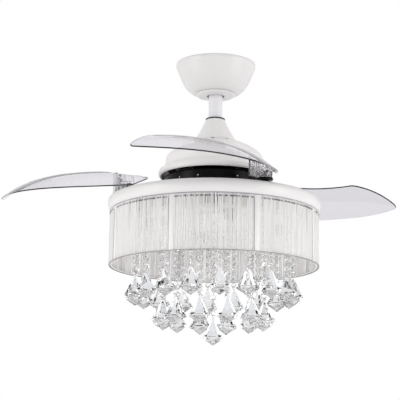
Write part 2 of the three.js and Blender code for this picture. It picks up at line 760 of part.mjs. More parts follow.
const openAbout = (geometry, degrees) => geometry.clone().translate(-pivotRadius, 0, 0)
  .rotateZ(rad(degrees)).translate(pivotRadius, 0, 0);
['front', 'left', 'right'].forEach((side, i) => {
  const azimuth = rad(firstPivot + [0, -120, 120][i]);
  const opened = (geometry) => openAbout(geometry, openings[i]).rotateZ(azimuth);
  add(`${side}_blade`, opened(foldedBlade), CLEAR, 0.08, 0, 0.35);
  add(`${side}_blade_holder`, opened(foldedHolder), CLEAR, 0.12, 0, 0.35);
  add(`${side}_pivot_pin`, foldedPin.clone().rotateZ(azimuth), BLACK, 0.4);
  add(`${side}_return_spring`, foldedSpring.clone().rotateZ(azimuth), STEEL, 0.3, 0.9);
});

// ---------------------------------------------------------------- light pan and shade
const panEdge = panRadius - 7.5;
add('light_pan', turned([
  [shaftBore, zPanTop],
  [panEdge, zPanTop],
  [panRadius - 1.8, zPanTop - 3],
  [panRadius, zPanTop - 8.5],
  [panRadius - 0.3, zPanTop - 15],
  [panRadius - 2.4, zPanTop - 21],
  [shadeRadius - 1.2, zPanFoot],
  [shadeRadius - 2.8, zPanFoot],
  [panRadius - 1.9, zPanTop - 15],
  [panRadius - 1.7, zPanTop - 8.5],
  [panEdge - 0.5, zPanTop - panSheet],
  [shaftBore, zPanTop - panSheet],
], 36), WHITE, 0.36);
const hexagon = Array.from({ length: 6 }, (_, i) => polar(nutHalf, i * 60));
const nut = prism(hexagon, shaftFoot + 3, zPanTop - panSheet - GAP);
add('pan_nut', cut(nut, disc(shaftBore, shaftFoot - 5, zPanTop + 5, 20)), STEEL, 0.35, 0.9);

// thread curtain: ribs side by side round a thin wall
const ribs = Array.from({ length: threadRibs * 2 }, (_, i) => {
  const radius = i % 2 ? shadeRadius : shadeRadius - 0.7;
  return polar(radius, (i * 180) / threadRibs);
});
const curtainBore = shadeRadius - threadWall;
add('thread_curtain', cut(
  prism(ribs, zShadeFoot, zShadeTop),
  disc(curtainBore, zShadeFoot - 5, zShadeTop + 5, 32),
), 0xeeecea, 0.8);

// shade frame: an upper ring with flat bars, and a lower ring under their feet
const frameOuter = curtainBore * Math.cos(Math.PI / 32) - GAP;
const frameRing = (z) => ring(frameOuter - frameWire, frameOuter, z, z + frameWire, 32);
const barFoot = zShadeFoot + frameWire + GAP;
const barMiddle = frameOuter - 1 - strutThick / 2;
const bar = block(
  barMiddle - strutThick / 2,
  barMiddle + strutThick / 2,
  -strutWidth / 2,
  strutWidth / 2,
  barFoot,
  zShadeTop - 1,
);
const bars = around(bar, strutCount, 270 + 180 / strutCount);
add('shade_frame', join(frameRing(zShadeTop - frameWire), ...bars), 0xe8e6e3, 0.5);
add('shade_foot_ring', frameRing(zShadeFoot), 0xe8e6e3, 0.5);

// ---------------------------------------------------------------- crystal plate and lamps
const zPlateUnder = zCrystalPlate - crystalPlateSheet;
const plateBody = turned([
  [0, zCrystalPlate],
  [crystalPlateRadius, zCrystalPlate],
  [crystalPlateRadius, zCrystalPlate - plateLip],
  [crystalPlateRadius - crystalPlateSheet, zCrystalPlate - plateLip],
  [crystalPlateRadius - crystalPlateSheet, zPlateUnder],
  [0, zPlateUnder],
], 32);
const post = placed(disc(postRadius, zCrystalPlate - 0.8, zPanTop - panSheet - GAP, 8), postAt, 0, 0);
add('crystal_plate', join(plateBody, ...around(post, 4, 45)), WHITE, 0.3);

const lampTop = zPlateUnder - GAP;
const lampFoot = lampTop - lampHolderLength;
const lampHolder = turned([
  [0, lampTop],
  [lampHolderRadius + 3, lampTop],
  [lampHolderRadius + 3, lampTop - 2],
  [lampHolderRadius, lampTop - 3],
  [lampHolderRadius, lampFoot + 1],
  [lampHolderRadius - 1, lampFoot],
  [0, lampFoot],
], 10);
const bulb = turned([
  [0, lampFoot - GAP],
  [bulbRadius - 1, lampFoot - GAP],
  [bulbRadius - 1, lampFoot - 9],
  [bulbRadius, lampFoot - 12],
  [bulbRadius, lampFoot - bulbLength + 6],
  [bulbRadius - 2.4, lampFoot - bulbLength + 1.4],
  [0, lampFoot - bulbLength],
], 8);
for (let i = 0; i < lampCount; i += 1) {
  const [x, y] = polar(lampCircle, lampTurn + (i * 360) / lampCount);
  add(`lamp_holder_${i + 1}`, placed(lampHolder, x, y, 0), 0x9a9894, 0.5);
  add(`bulb_${i + 1}`, placed(bulb, x, y, 0), 0xf4f1ea, 0.2, 0, 0.6);
}

// ---------------------------------------------------------------- crystals
// a string: flat bevelled beads on links, then a pendant cut with broad and narrow facets
function crystalString(beads, zTop) {
  const wedge = (wide, thick, z) => [[wide, 0, z], [-wide, thick, z], [-wide, -thick, z]];
  const rings = [wedge(beadNeck, beadNeck, zTop + 1)];
  for (let i = 0; i < beads; i += 1) {
    const middle = zTop - beadPitch * (i + 0.5);
    rings.push(wedge(beadNeck, beadNeck, middle + beadPitch / 2 - 1));
    rings.push(wedge(beadHalf, beadThick, middle));
  }
  const apex = zTop - beadPitch * beads;
  rings.push(wedge(beadNeck, beadNeck, apex + 0.4));
  rings.push(wedge(beadNeck, beadNeck, apex - 4));
  const girdle = apex - pendantUpper;
  const facets = (half, z) => Array.from({ length: 8 }, (_, i) => {
    const angle = rad(45 * Math.floor(i / 2) * 2 + (i % 2 ? 1 : -1) * 29 + 45);
    return [half * Math.cos(angle), half * Math.sin(angle), z];
  });
  const pendant = skinned([
    facets(3, apex - 1),
    facets(pendantHalf, girdle),
    facets(0, girdle - pendantLower),
  ]);
  return join(skinned(rings), pendant);
}

const hoopTop = zPlateUnder - GAP;
for (const { name, count, circle, beads, turn } of tiers) {
  const spacing = 360 / count;
  const trim = (GAP / circle) * (180 / Math.PI);
  const rim = (radius) => Array.from({ length: hoopSteps + 1 }, (_, i) => polar(
    radius,
    trim + ((180 - 2 * trim) * i) / hoopSteps - spacing / 2,
  ));
  const outline = [...rim(circle + hoopHalf), ...rim(circle - hoopHalf).reverse()];
  const hoop = prism(outline, hoopTop - hoopThick, hoopTop);
  const string = placed(crystalString(beads, hoopTop - hoopThick), circle, 0, 0);
  const strings = around(string, count).slice(0, count / 2);
  const half = join(hoop, ...strings);
  add(`${name}_right`, placed(half, 0, 0, 0, turn), CRYSTAL, 0.03, 0, 0.5);
  add(`${name}_left`, placed(half, 0, 0, 0, turn + 180), CRYSTAL, 0.03, 0, 0.5);
}
const knob = turned(arc(0, hoopTop - knobRadius, knobRadius, knobRadius, -90, 90, 4), 8);
const centreString = join(knob, crystalString(centreBeads, hoopTop - knobRadius));
add('centre_crystal_string', centreString, CRYSTAL, 0.03, 0, 0.5);

export default part;
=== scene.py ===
"""A ceiling fan with folding clear blades, a thread drum shade and hanging crystals.

Everything is in metres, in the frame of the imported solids: the ceiling is the plane z = 0, the
fan's axis is the Z axis and the side seen first looks along +Y. Azimuths count from +X.
"""

import math
import random

import bmesh
import bpy
from bpy.props import FloatProperty, FloatVectorProperty, IntProperty, PointerProperty
from mathutils import Matrix, Vector


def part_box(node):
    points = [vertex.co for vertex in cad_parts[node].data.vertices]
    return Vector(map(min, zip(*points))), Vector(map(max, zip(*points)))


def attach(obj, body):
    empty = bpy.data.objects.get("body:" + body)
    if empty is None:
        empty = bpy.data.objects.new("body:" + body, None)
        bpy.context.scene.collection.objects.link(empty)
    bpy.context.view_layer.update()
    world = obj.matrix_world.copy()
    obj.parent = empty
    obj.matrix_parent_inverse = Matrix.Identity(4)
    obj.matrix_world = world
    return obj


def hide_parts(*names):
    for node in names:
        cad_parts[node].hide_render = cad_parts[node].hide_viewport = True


bl_info = {
    "name": "Folding Blade Ceiling Fan",
    "version": (1, 0, 0),
    "blender": (4, 5, 0),
    "location": "View3D > Sidebar > Fan",
    "description": "Builds a ceiling fan with folding clear blades, a thread shade and crystals",
    "category": "Add Mesh",
}

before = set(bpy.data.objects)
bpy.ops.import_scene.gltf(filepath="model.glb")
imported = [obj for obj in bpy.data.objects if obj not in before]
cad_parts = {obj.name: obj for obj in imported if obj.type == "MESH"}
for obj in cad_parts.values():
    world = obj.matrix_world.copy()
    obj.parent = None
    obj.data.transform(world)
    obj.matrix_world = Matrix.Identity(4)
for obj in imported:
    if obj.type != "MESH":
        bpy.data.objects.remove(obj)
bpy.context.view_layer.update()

MM = 0.001
SIDES = ("front", "left", "right")
HANGING = "hanging_body"
ROTOR = "blade_rotor"
CEILING = "ceiling_mount"


def edge_radius(node):
    """Radius of a round node in millimetres, from its packed box."""
    low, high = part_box(node)
    return (high[0] - low[0]) / 2 / MM


def ends(node):
    """Heights of a node's upper and lower end in millimetres."""
    low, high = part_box(node)
    return high[2] / MM, low[2] / MM


# ------------------------------------------------------------------ sizes and colours
def length(name, default, description):
    return FloatProperty(name=name, description=description, default=default, min=0.0, unit="LENGTH",
                         subtype="DISTANCE", precision=4)


def colour(name, default, description):
    return FloatVectorProperty(name=name, description=description, default=default, size=3, min=0.0,
                               max=1.0, subtype="COLOR")


class FanSizes(bpy.types.PropertyGroup):
    """Sizes that can be changed before the pieces are built"""

    thread_count: IntProperty(name="Threads", description="Threads in each of the shade's two layers",
                              default=900, min=100, max=1400)
    thread_width: length("Thread width", 0.00085, "Width of one thread of the shade")
    thread_stray: length("Thread stray", 0.00055, "How far a thread strays from its even place")
    bead_width: length("Bead width", 0.0108, "Width of one crystal bead")
    bead_depth: length("Bead depth", 0.0054, "Thickness of one crystal bead")
    pendant_width: length("Pendant width", 0.042, "Width of a pendant over its girdle")
    link_wire: length("Link wire", 0.0007, "Thickness of the wire links between beads")
    blade_thickness: length("Blade thickness", 0.0026, "Thickness of the clear blades")
    floor_drop: length("Floor", 0.95, "Depth of the pale floor below the ceiling")


class FanColours(bpy.types.PropertyGroup):
    """Colours of the finishes"""

    enamel: colour("White enamel", (0.677, 0.664, 0.66), "Baked enamel of the canopy and pan")
    # Painted light: the canopy's white enamel made lighter for the housing and cone, to make up for the
    # light that the clear blades hold back from them.
    housing: colour("Housing enamel", (0.83, 0.81, 0.803), "Baked enamel of the motor housing and cone")
    rod: colour("Rod enamel", (0.74, 0.73, 0.755), "Enamel of the downrod")
    black: colour("Black enamel", (0.004, 0.004, 0.005), "Enamel of the blade hub and plate")
    acrylic: colour("Blade acrylic", (0.70, 0.68, 0.72), "Clear acrylic of the blades")
    acrylic_edge: colour("Blade edge", (0.33, 0.30, 0.36), "Acrylic looked at along its edge")
    thread: colour("Shade thread", (0.975, 0.965, 0.96), "Thread of the shade")
    trim: colour("Shade trim", (0.27, 0.25, 0.23), "Trim round the shade's lower edge")
    crystal: colour("Crystal", (0.985, 0.988, 0.995), "Glass of the beads and pendants")
    steel: colour("Plated steel", (0.62, 0.63, 0.65), "Plated screws, pins and links")


def sizes():
    return bpy.context.scene.fan_sizes


def colours():
    return bpy.context.scene.fan_colours


# ------------------------------------------------------------------ materials
class Nodes:
    """A node tree with short ways to add nodes and links to it."""

    def __init__(self, tree):
        self.tree = tree

    def node(self, kind, **values):
        made = self.tree.nodes.new(kind)
        for key, value in values.items():
            made.inputs[key.replace("_", " ")].default_value = value
        return made

    def link(self, source, target):
        self.tree.links.new(source, target)

    def ramp(self, source, stops, easing="LINEAR"):
        """A colour ramp over stops of (position, colour)."""
        made = self.node("ShaderNodeValToRGB")
        made.color_ramp.interpolation = easing
        elements = made.color_ramp.elements
        while len(elements) < len(stops):
            elements.new(0.5)
        for element, (position, tone) in zip(elements, stops):
            element.position = position
            element.color = (*tone, 1.0)
        self.link(source, made.inputs["Fac"])
        return made.outputs["Color"]

    def math(self, operation, *values):
        made = self.node("ShaderNodeMath")
        made.operation = operation
        for socket, value in zip(made.inputs, values):
            if isinstance(value, float):
                socket.default_value = value
            else:
                self.link(value, socket)
        return made.outputs[0]

    def mixed(self, share, first, second):
        """One shader changing into another by a share from 0 to 1."""
        made = self.node("ShaderNodeMixShader")
        for socket, value in zip(made.inputs, (share, first, second)):
            self.link(value, socket)
        return made.outputs[0]

    def clear_rays(self):
        """1 for rays that came by a mirror or a clear face, 0 for those from a dull one."""
        path = self.node("ShaderNodeLightPath").outputs
        either = self.math("MAXIMUM", path["Is Glossy Ray"], path["Is Transmission Ray"])
        return self.math("SUBTRACT", either, path["Is Diffuse Ray"])


class Finish(Nodes):
    """A node material built round one Principled shader."""

    def __init__(self, name, base, roughness, metallic=0.0):
        self.material = bpy.data.materials.new(name)
        self.material.use_nodes = True
        super().__init__(self.material.node_tree)
        self.shader = self.tree.nodes["Principled BSDF"]
        self.base = (*base, 1.0)
        self.shader.inputs["Base Color"].default_value = self.base
        self.shader.inputs["Roughness"].default_value = roughness
        self.shader.inputs["Metallic"].default_value = metallic
        self.place = self.node("ShaderNodeTexCoord").outputs["Object"]

    def noise(self, scale, detail=3.0, stretch=(1.0, 1.0, 1.0)):
        mapping = self.node("ShaderNodeMapping", Scale=stretch)
        self.link(self.place, mapping.inputs["Vector"])
        made = self.node("ShaderNodeTexNoise", Scale=scale, Detail=detail)
        self.link(mapping.outputs["Vector"], made.inputs["Vector"])
        return made.outputs["Fac"]

    def vary_roughness(self, source, low, high):
        made = self.node("ShaderNodeMapRange", From_Min=0.3, From_Max=0.7, To_Min=low, To_Max=high)
        self.link(source, made.inputs["Value"])
        self.link(made.outputs["Result"], self.shader.inputs["Roughness"])
        return self

    def vary_colour(self, source, other):
        changing = self.ramp(source, ((0.32, other), (0.62, self.base[:3])))
        self.link(changing, self.shader.inputs["Base Color"])
        return self

    def bump(self, source, strength, distance):
        made = self.node("ShaderNodeBump", Strength=strength, Distance=distance)
        self.link(source, made.inputs["Height"])
        self.link(made.outputs["Normal"], self.shader.inputs["Normal"])
        return self

    def let_through(self, share):
        """Lets a share of the light that falls on the back shine through, as thin yarn does."""
        thin = self.node("ShaderNodeBsdfTranslucent", Color=self.base)
        mixed = self.node("ShaderNodeMixShader", Fac=share)
        self.link(self.shader.outputs[0], mixed.inputs[1])
        self.link(thin.outputs[0], mixed.inputs[2])
        return self.show(mixed.outputs[0])

    def show(self, shader):
        self.link(shader, self.tree.nodes["Material Output"].inputs["Surface"])
        return self

    def set(self, **values):
        for key, value in values.items():
            self.shader.inputs[key.replace("_", " ")].default_value = value
        return self


def shade_of(base, factor):
    return tuple(min(1.0, value * factor) for value in base)


def enamel(name, base, roughness=0.36):
    """Baked enamel: a faint orange peel, tiny changes of gloss and of tone."""
    made = Finish(name, base, roughness)
    made.vary_colour(made.noise(9.0, 2.0), shade_of(base, 0.975))
    made.vary_roughness(made.noise(55.0), roughness - 0.05, roughness + 0.06)
    made.bump(made.noise(420.0, 2.0), 0.10, 0.0004)
    return made.set(Coat_Weight=0.1, Coat_Roughness=0.2).material


def black_paint(name, base):
    """Black enamel that takes only a weak shine from the room."""
    made = Finish(name, base, 0.22)
    made.vary_colour(made.noise(12.0, 2.0), shade_of(base, 0.8))
    made.vary_roughness(made.noise(80.0), 0.18, 0.3)
    return made.set(Specular_IOR_Level=0.08).material


def plated(name, base, roughness=0.26, grain=(1.0, 1.0, 14.0)):
    """Plated or machined metal with a fine drawn grain."""
    made = Finish(name, base, roughness, 1.0)
    made.vary_colour(made.noise(30.0, 3.0), shade_of(base, 0.86))
    made.vary_roughness(made.noise(160.0, 4.0, grain), roughness - 0.08, roughness + 0.12)
    made.bump(made.noise(520.0, 2.0, grain), 0.08, 0.0002)
    return made.material


def moulded(name, base, roughness, grain=900.0):
    """Moulded plastic or rubber with a fine sparked texture."""
    made = Finish(name, base, roughness)
    made.vary_colour(made.noise(18.0), shade_of(base, 0.93))
    made.vary_roughness(made.noise(70.0), roughness - 0.06, roughness + 0.06)
    made.bump(made.noise(grain, 2.0), 0.18, 0.0002)
    return made.material


def clear_acrylic(name, base, roughness=0.03, ripple=0.05, waves=26.0, depth=0.002):
    """Clear plastic: light goes through with a faint tint; its surface is rippled."""
    made = Finish(name, base, roughness)
    made.vary_colour(made.noise(6.0, 2.0), shade_of(base, 0.985))
    made.bump(made.noise(waves, 2.0), ripple, depth)
    return made.set(Transmission_Weight=1.0, IOR=1.46).material


def cut_glass(name, base):
    made = Finish(name, base, 0.0)
    made.vary_colour(made.noise(60.0, 1.0), shade_of(base, 0.985))
    return made.set(Transmission_Weight=1.0, IOR=1.56).material


def thread_yarn(name, base):
    """Twisted thread: long soft streaks and a fine lay along each thread."""
    made = Finish(name, base, 0.55)
    made.vary_colour(made.noise(260.0, 3.0, (1.0, 1.0, 0.06)), shade_of(base, 0.94))
    made.bump(made.noise(1500.0, 2.0, (1.0, 1.0, 0.3)), 0.2, 0.0003)
    made.set(Sheen_Weight=0.15, Sheen_Roughness=0.5)
    return made.let_through(0.42).material


MATERIALS = {}


def make_materials():
    tone = colours()
    MATERIALS.update({
        "white_enamel": enamel("white_enamel_finish", tone.enamel),
        # Painted light: a lighter copy of the white enamel, so the housing and cone stay as bright as the
        # pan under the blades' shade.
        "painted_light_enamel": enamel("painted_light_enamel_finish", tone.housing),
        "rod_enamel": enamel("rod_enamel_finish", tone.rod, 0.3),
        "frame_enamel": enamel("frame_enamel_finish", shade_of(tone.enamel, 1.12), 0.45),
        "black_enamel": black_paint("black_enamel_finish", tone.black),
        "plated_steel": plated("plated_steel_finish", tone.steel),
        "cast_alloy": plated("cast_alloy_finish", (0.55, 0.56, 0.58), 0.42, (1.0, 1.0, 1.0)),
        "laminations": plated("lamination_finish", (0.20, 0.20, 0.22), 0.4, (1.0, 1.0, 60.0)),
        "winding_wire": plated("winding_finish", (0.48, 0.16, 0.06), 0.3, (6.0, 6.0, 1.0)),
        "black_nylon": moulded("black_nylon_finish", (0.02, 0.02, 0.022), 0.45),
        "rubber": moulded("rubber_finish", (0.012, 0.012, 0.013), 0.68),
        "box_plastic": moulded("box_plastic_finish", (0.72, 0.70, 0.67), 0.5),
        "lamp_plastic": moulded("lamp_plastic_finish", (0.07, 0.068, 0.065), 0.45),
        "smoky_acrylic": clear_acrylic("blade_acrylic_finish", tone.acrylic),
        "acrylic_edge": clear_acrylic("blade_edge_finish", tone.acrylic_edge, 0.2),
        "clear_moulding": clear_acrylic("clear_moulding_finish", (0.98, 0.975, 0.985), 0.04, 1.0, 120.0,
                                        0.003),
        "bulb_glass": clear_acrylic("bulb_glass_finish", (0.95, 0.94, 0.92), 0.12, 0.02),
        "crystal": cut_glass("cut_crystal_finish", tone.crystal),
        # Painted shade: the bead glass made greyer for the pendants, so their broad facets keep a light
        # grey tone instead of burning out white.
        "shaded_drop_glass": cut_glass("shaded_drop_glass_finish", shade_of(tone.crystal, 0.85)),
        "thread": thread_yarn("shade_thread_finish", tone.thread),
        "trim": moulded("shade_trim_finish", tone.trim, 0.5),
        # Painted shade: near-black for the dashes that stand in for the shadow under the pan, seen through
        # the threads.
        "painted_gap_shade": moulded("painted_shade_band_finish", (0.09, 0.087, 0.085), 0.6),
        # Dark violet-grey: painted shade in the strips beside the shade's bars, and also the colour of the
        # upper trim.
        "strut_shade_and_top_trim": moulded("strut_shade_and_top_trim_finish", (0.30, 0.27, 0.33), 0.5),
    })


# ------------------------------------------------------------------ mesh helpers
def turned(profile, steps=128, closed=True):
    """Spins a profile of (radius, height) points in millimetres round the Z axis."""
    bm = bmesh.new()
    chain = [bm.verts.new((r * MM, 0.0, z * MM)) for r, z in profile]
    edges = [bm.edges.new(pair) for pair in zip(chain, chain[1:])]
    if closed:
        edges.append(bm.edges.new((chain[-1], chain[0])))
    bmesh.ops.spin(bm, geom=chain + edges, cent=(0, 0, 0), axis=(0, 0, 1), dvec=(0, 0, 0),
                   angle=2 * math.pi, steps=steps, use_merge=True)
    bmesh.ops.remove_doubles(bm, verts=bm.verts, dist=1e-6)
    bmesh.ops.recalc_face_normals(bm, faces=bm.faces)
    return bm


def eased(points, radius, steps=4, closed=True):
    """The same outline with each corner replaced by a short curve."""
    made = []
    count = len(points)
    for i, corner in enumerate(points):
        here = Vector(corner)
        if not closed and i in (0, count - 1) or here.x < 1e-6:
            made.append(tuple(here))
            continue
        before, after = Vector(points[i - 1]), Vector(points[(i + 1) % count])
        reach = min(radius, 0.45 * (before - here).length, 0.45 * (after - here).length)
        start = here + (before - here).normalized() * reach
        end = here + (after - here).normalized() * reach
        for k in range(steps + 1):
            t = k / steps
            point = start * (1 - t) ** 2 + here * 2 * t * (1 - t) + end * t * t
            made.append(tuple(point))
    return made


def band(inner, outer, low, high, ease=0.4, steps=3):
    """Rounded section of a plain ring."""
    return eased([(inner, low), (outer, low), (outer, high), (inner, high)], ease, steps)


def flowing(points, per=5):
    """A smooth curve through the points, by Catmull and Rom's rule."""
    made = []
    for i in range(len(points) - 1):
        p0 = Vector(points[max(i - 1, 0)])
        p1, p2 = Vector(points[i]), Vector(points[i + 1])
        p3 = Vector(points[min(i + 2, len(points) - 1)])
        for k in range(per):
            t = k / per
            made.append(tuple(0.5 * (2 * p1 + (p2 - p0) * t + (2 * p0 - 5 * p1 + 4 * p2 - p3) * t * t
                                     + (3 * p1 - p0 - 3 * p2 + p3) * t ** 3)))
    made.append(tuple(points[-1]))
    return made


def piece(name, bm, material, body, replaces=(), smooth=35.0, extra=()):
    """Turns a bmesh into a finished piece that rides on a body; its material fills the first slot and any
    extra ones follow.
    """
    mesh = bpy.data.meshes.new(name)
    bm.to_mesh(mesh)
    bm.free()
    for key in (material, *extra):
        mesh.materials.append(MATERIALS[key])
    made = bpy.data.objects.new(name, mesh)
    bpy.context.scene.collection.objects.link(made)
    shade(mesh, smooth)
    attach(made, body)
    if replaces:
        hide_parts(*replaces)
    return made


def shade(mesh, degrees):
    if degrees:
        mesh.polygons.foreach_set("use_smooth", [True] * len(mesh.polygons))
        mesh.set_sharp_from_angle(angle=math.radians(degrees))
    else:
        mesh.polygons.foreach_set("use_smooth", [False] * len(mesh.polygons))


def combine(target, others, operation):
    """Joins bmeshes to a piece, or cuts them out of it, and keeps the result as its mesh."""
    helpers = []
    for bm in others:
        helper = bpy.data.objects.new("helper", pattern(bm))
        bpy.context.scene.collection.objects.link(helper)
        step = target.modifiers.new("step", "BOOLEAN")
        step.operation = operation
        step.solver = "EXACT"
        step.object = helper
        helpers.append(helper)
    bpy.context.view_layer.update()
    graph = bpy.context.evaluated_depsgraph_get()
    mesh = bpy.data.meshes.new_from_object(target.evaluated_get(graph))
    target.modifiers.clear()
    target.data = mesh
    for helper in helpers:
        bpy.data.objects.remove(helper)
    mesh.name = target.name
    shade(mesh, 35.0)


def stamp(bm, mesh, matrix):
    """Adds a copy of a mesh to a bmesh, placed by a matrix."""
    copy = mesh.copy()
    copy.transform(matrix)
    bm.from_mesh(copy)
    bpy.data.meshes.remove(copy)


def pattern(bm):
    """A mesh kept only as a pattern to stamp from."""
    mesh = bpy.data.meshes.new("pattern")
    bm.to_mesh(mesh)
    bm.free()
    return mesh


def block(size, bevel=0.0, segments=2):
    """A box of the given size in millimetres about the origin, with rounded edges."""
    bm = bmesh.new()
    bmesh.ops.create_cube(bm, size=1.0)
    bmesh.ops.scale(bm, vec=[value * MM for value in size], verts=bm.verts)
    if bevel:
        bmesh.ops.bevel(bm, geom=bm.edges[:], offset=bevel * MM, segments=segments, profile=0.5,
                        affect="EDGES", material=-1)
    return bm


def loop_of_wire(radius, wire, around=14, sides=6):
    """A closed ring of round wire in the XZ plane, in millimetres."""
    bm = bmesh.new()
    ring = bmesh.ops.create_circle(bm, segments=sides, radius=wire * MM / 2)["verts"]
    middle = (radius * MM, 0, 0)
    bmesh.ops.translate(bm, vec=middle, verts=ring)
    bmesh.ops.rotate(bm, cent=middle, matrix=Matrix.Rotation(math.pi / 2, 3, "X"), verts=ring)
    bmesh.ops.spin(bm, geom=bm.verts[:] + bm.edges[:], cent=(0, 0, 0), axis=(0, 0, 1), dvec=(0, 0, 0),
                   angle=2 * math.pi, steps=around, use_merge=True)
    bmesh.ops.remove_doubles(bm, verts=bm.verts, dist=1e-7)
    bmesh.ops.rotate(bm, cent=(0, 0, 0), matrix=Matrix.Rotation(math.pi / 2, 3, "X"), verts=bm.verts)
    bmesh.ops.recalc_face_normals(bm, faces=bm.faces)
    return bm


def verts_of(made):
    """The vertices among what an operator made."""
    return [item for item in made if isinstance(item, bmesh.types.BMVert)]


def at(x, y, z, azimuth=0.0):
    """Placement in millimetres, turned about Z by degrees."""
    return Matrix.Translation((x * MM, y * MM, z * MM)) @ Matrix.Rotation(math.radians(azimuth), 4, "Z")


def polar(radius, degrees, z=0.0):
    angle = math.radians(degrees)
    return radius * math.cos(angle), radius * math.sin(angle), z


def dress(key, *nodes):
    """Gives carried-over solids their finish."""
    for node in nodes:
        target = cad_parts[node]
        target.data.materials.clear()
        target.data.materials.append(MATERIALS[key])


class BuildStep(bpy.types.Operator):
    """Builds one group of the fan's pieces"""

    bl_idname = "fan.build_step"
    bl_label = "Build Step"
    bl_options = {"REGISTER", "UNDO"}

    def build(self):
        raise NotImplementedError

    def execute(self, context):
        self.build()
        return {"FINISHED"}


# ------------------------------------------------------------------ ceiling end and downrod
class CeilingEnd(BuildStep):
    """Builds the canopy bowl and its cover ring, and finishes the bracket and screws"""

    bl_idname = "fan.ceiling_end"
    bl_label = "Canopy and Bracket"

    def build(self):
        wide = edge_radius("canopy")
        foot = ends("canopy")[1]
        wall = 1.2
        outside = flowing([(wide, -6.0), (wide - 4.8, -17.0), (wide - 10.0, -30.5), (wide - 16.6, -43.0),
                           (wide - 23.6, -51.5), (wide - 31.0, -57.2), (wide - 41.0, foot + 0.2)])
        inside = [(r - wall, z + 0.4 * wall) for r, z in outside[::-1]]
        profile = [(wide - wall, -0.3), (wide - 0.3, -0.3), (wide, -0.9), *outside, (22.0, foot),
                   (21.0, foot + 0.4), (21.0, foot + wall), (wide - 40.0, foot + wall + 0.2), *inside[1:]]
        piece("canopy_bowl", turned(profile), "white_enamel", CEILING, ("canopy",))

        rim = edge_radius("canopy_cover_ring")
        low = ends("canopy_cover_ring")[1]
        profile = eased([(rim - 2, foot - 0.3), (rim, foot - 0.3), (rim - 0.5, low + 1.6), (rim - 3.4, low),
                         (16.8, low), (16.8, low + 1.2), (rim - 3.6, low + 1.3), (rim - 2.2, low + 2.4)],
                        0.5, 3)
        piece("canopy_ring", turned(profile), "white_enamel", CEILING, ("canopy_cover_ring",))
        dress("plated_steel", "ceiling_bracket", "canopy_screw_rear", "canopy_screw_front")
        dress("box_plastic", "receiver_box")


class Downrod(BuildStep):
    """Builds the hanger ball, downrod, cone and rubber ring, and finishes the coupling"""

    bl_idname = "fan.downrod"
    bl_label = "Downrod and Coupling"

    def build(self):
        centre = -33.0
        radius = 25.0
        arc = [(radius * math.cos(a), centre + radius * math.sin(a))
               for a in [math.radians(-55 + 110 * k / 20) for k in range(21)]]
        profile = [(13.65, arc[0][1]), *arc, (13.65, arc[-1][1])]
        piece("hanger_ball_round", turned(profile, 64), "black_nylon", HANGING, ("hanger_ball",))

        top, foot = ends("downrod")
        rod = edge_radius("downrod")
        profile = eased([(rod, foot), (rod, top), (rod - 1.8, top), (rod - 1.8, foot)], 0.4, 2)
        piece("downrod_tube", turned(profile, 96), "rod_enamel", HANGING, ("downrod",))

        high, low = ends("coupling_cone")
        wide = edge_radius("coupling_cone")
        neck = 18.6
        flare = wide - neck
        span = high - low
        shares = ((0.13, 0.17), (0.3, 0.34), (0.58, 0.6), (0.84, 0.8))
        middle = [(neck + out * flare, high - down * span) for out, down in shares]
        skirt = flowing([(neck, high - 1.4), *middle, (wide - 0.1, low + 2.6)])
        inner = [(r - 1.2, z - 0.4) for r, z in skirt[::-1]]
        profile = [(15.3, high), (neck - 1.6, high), (neck - 0.5, high - 0.4), *skirt, (wide, low),
                   (wide - 1.2, low), *inner, (15.3, high - 1.6)]
        piece("coupling_cone_shell", turned(profile), "painted_light_enamel", HANGING, ("coupling_cone",))

        high, low = ends("rubber_ring")
        wide = edge_radius("rubber_ring")
        seal = turned(band(rod + 0.3, wide, low, high, 0.6), 96)
        piece("rubber_seal", seal, "rubber", HANGING, ("rubber_ring",))
        dress("plated_steel", "ball_pin", "yoke_pin", "yoke_set_screw")
        dress("cast_alloy", "coupling_yoke")


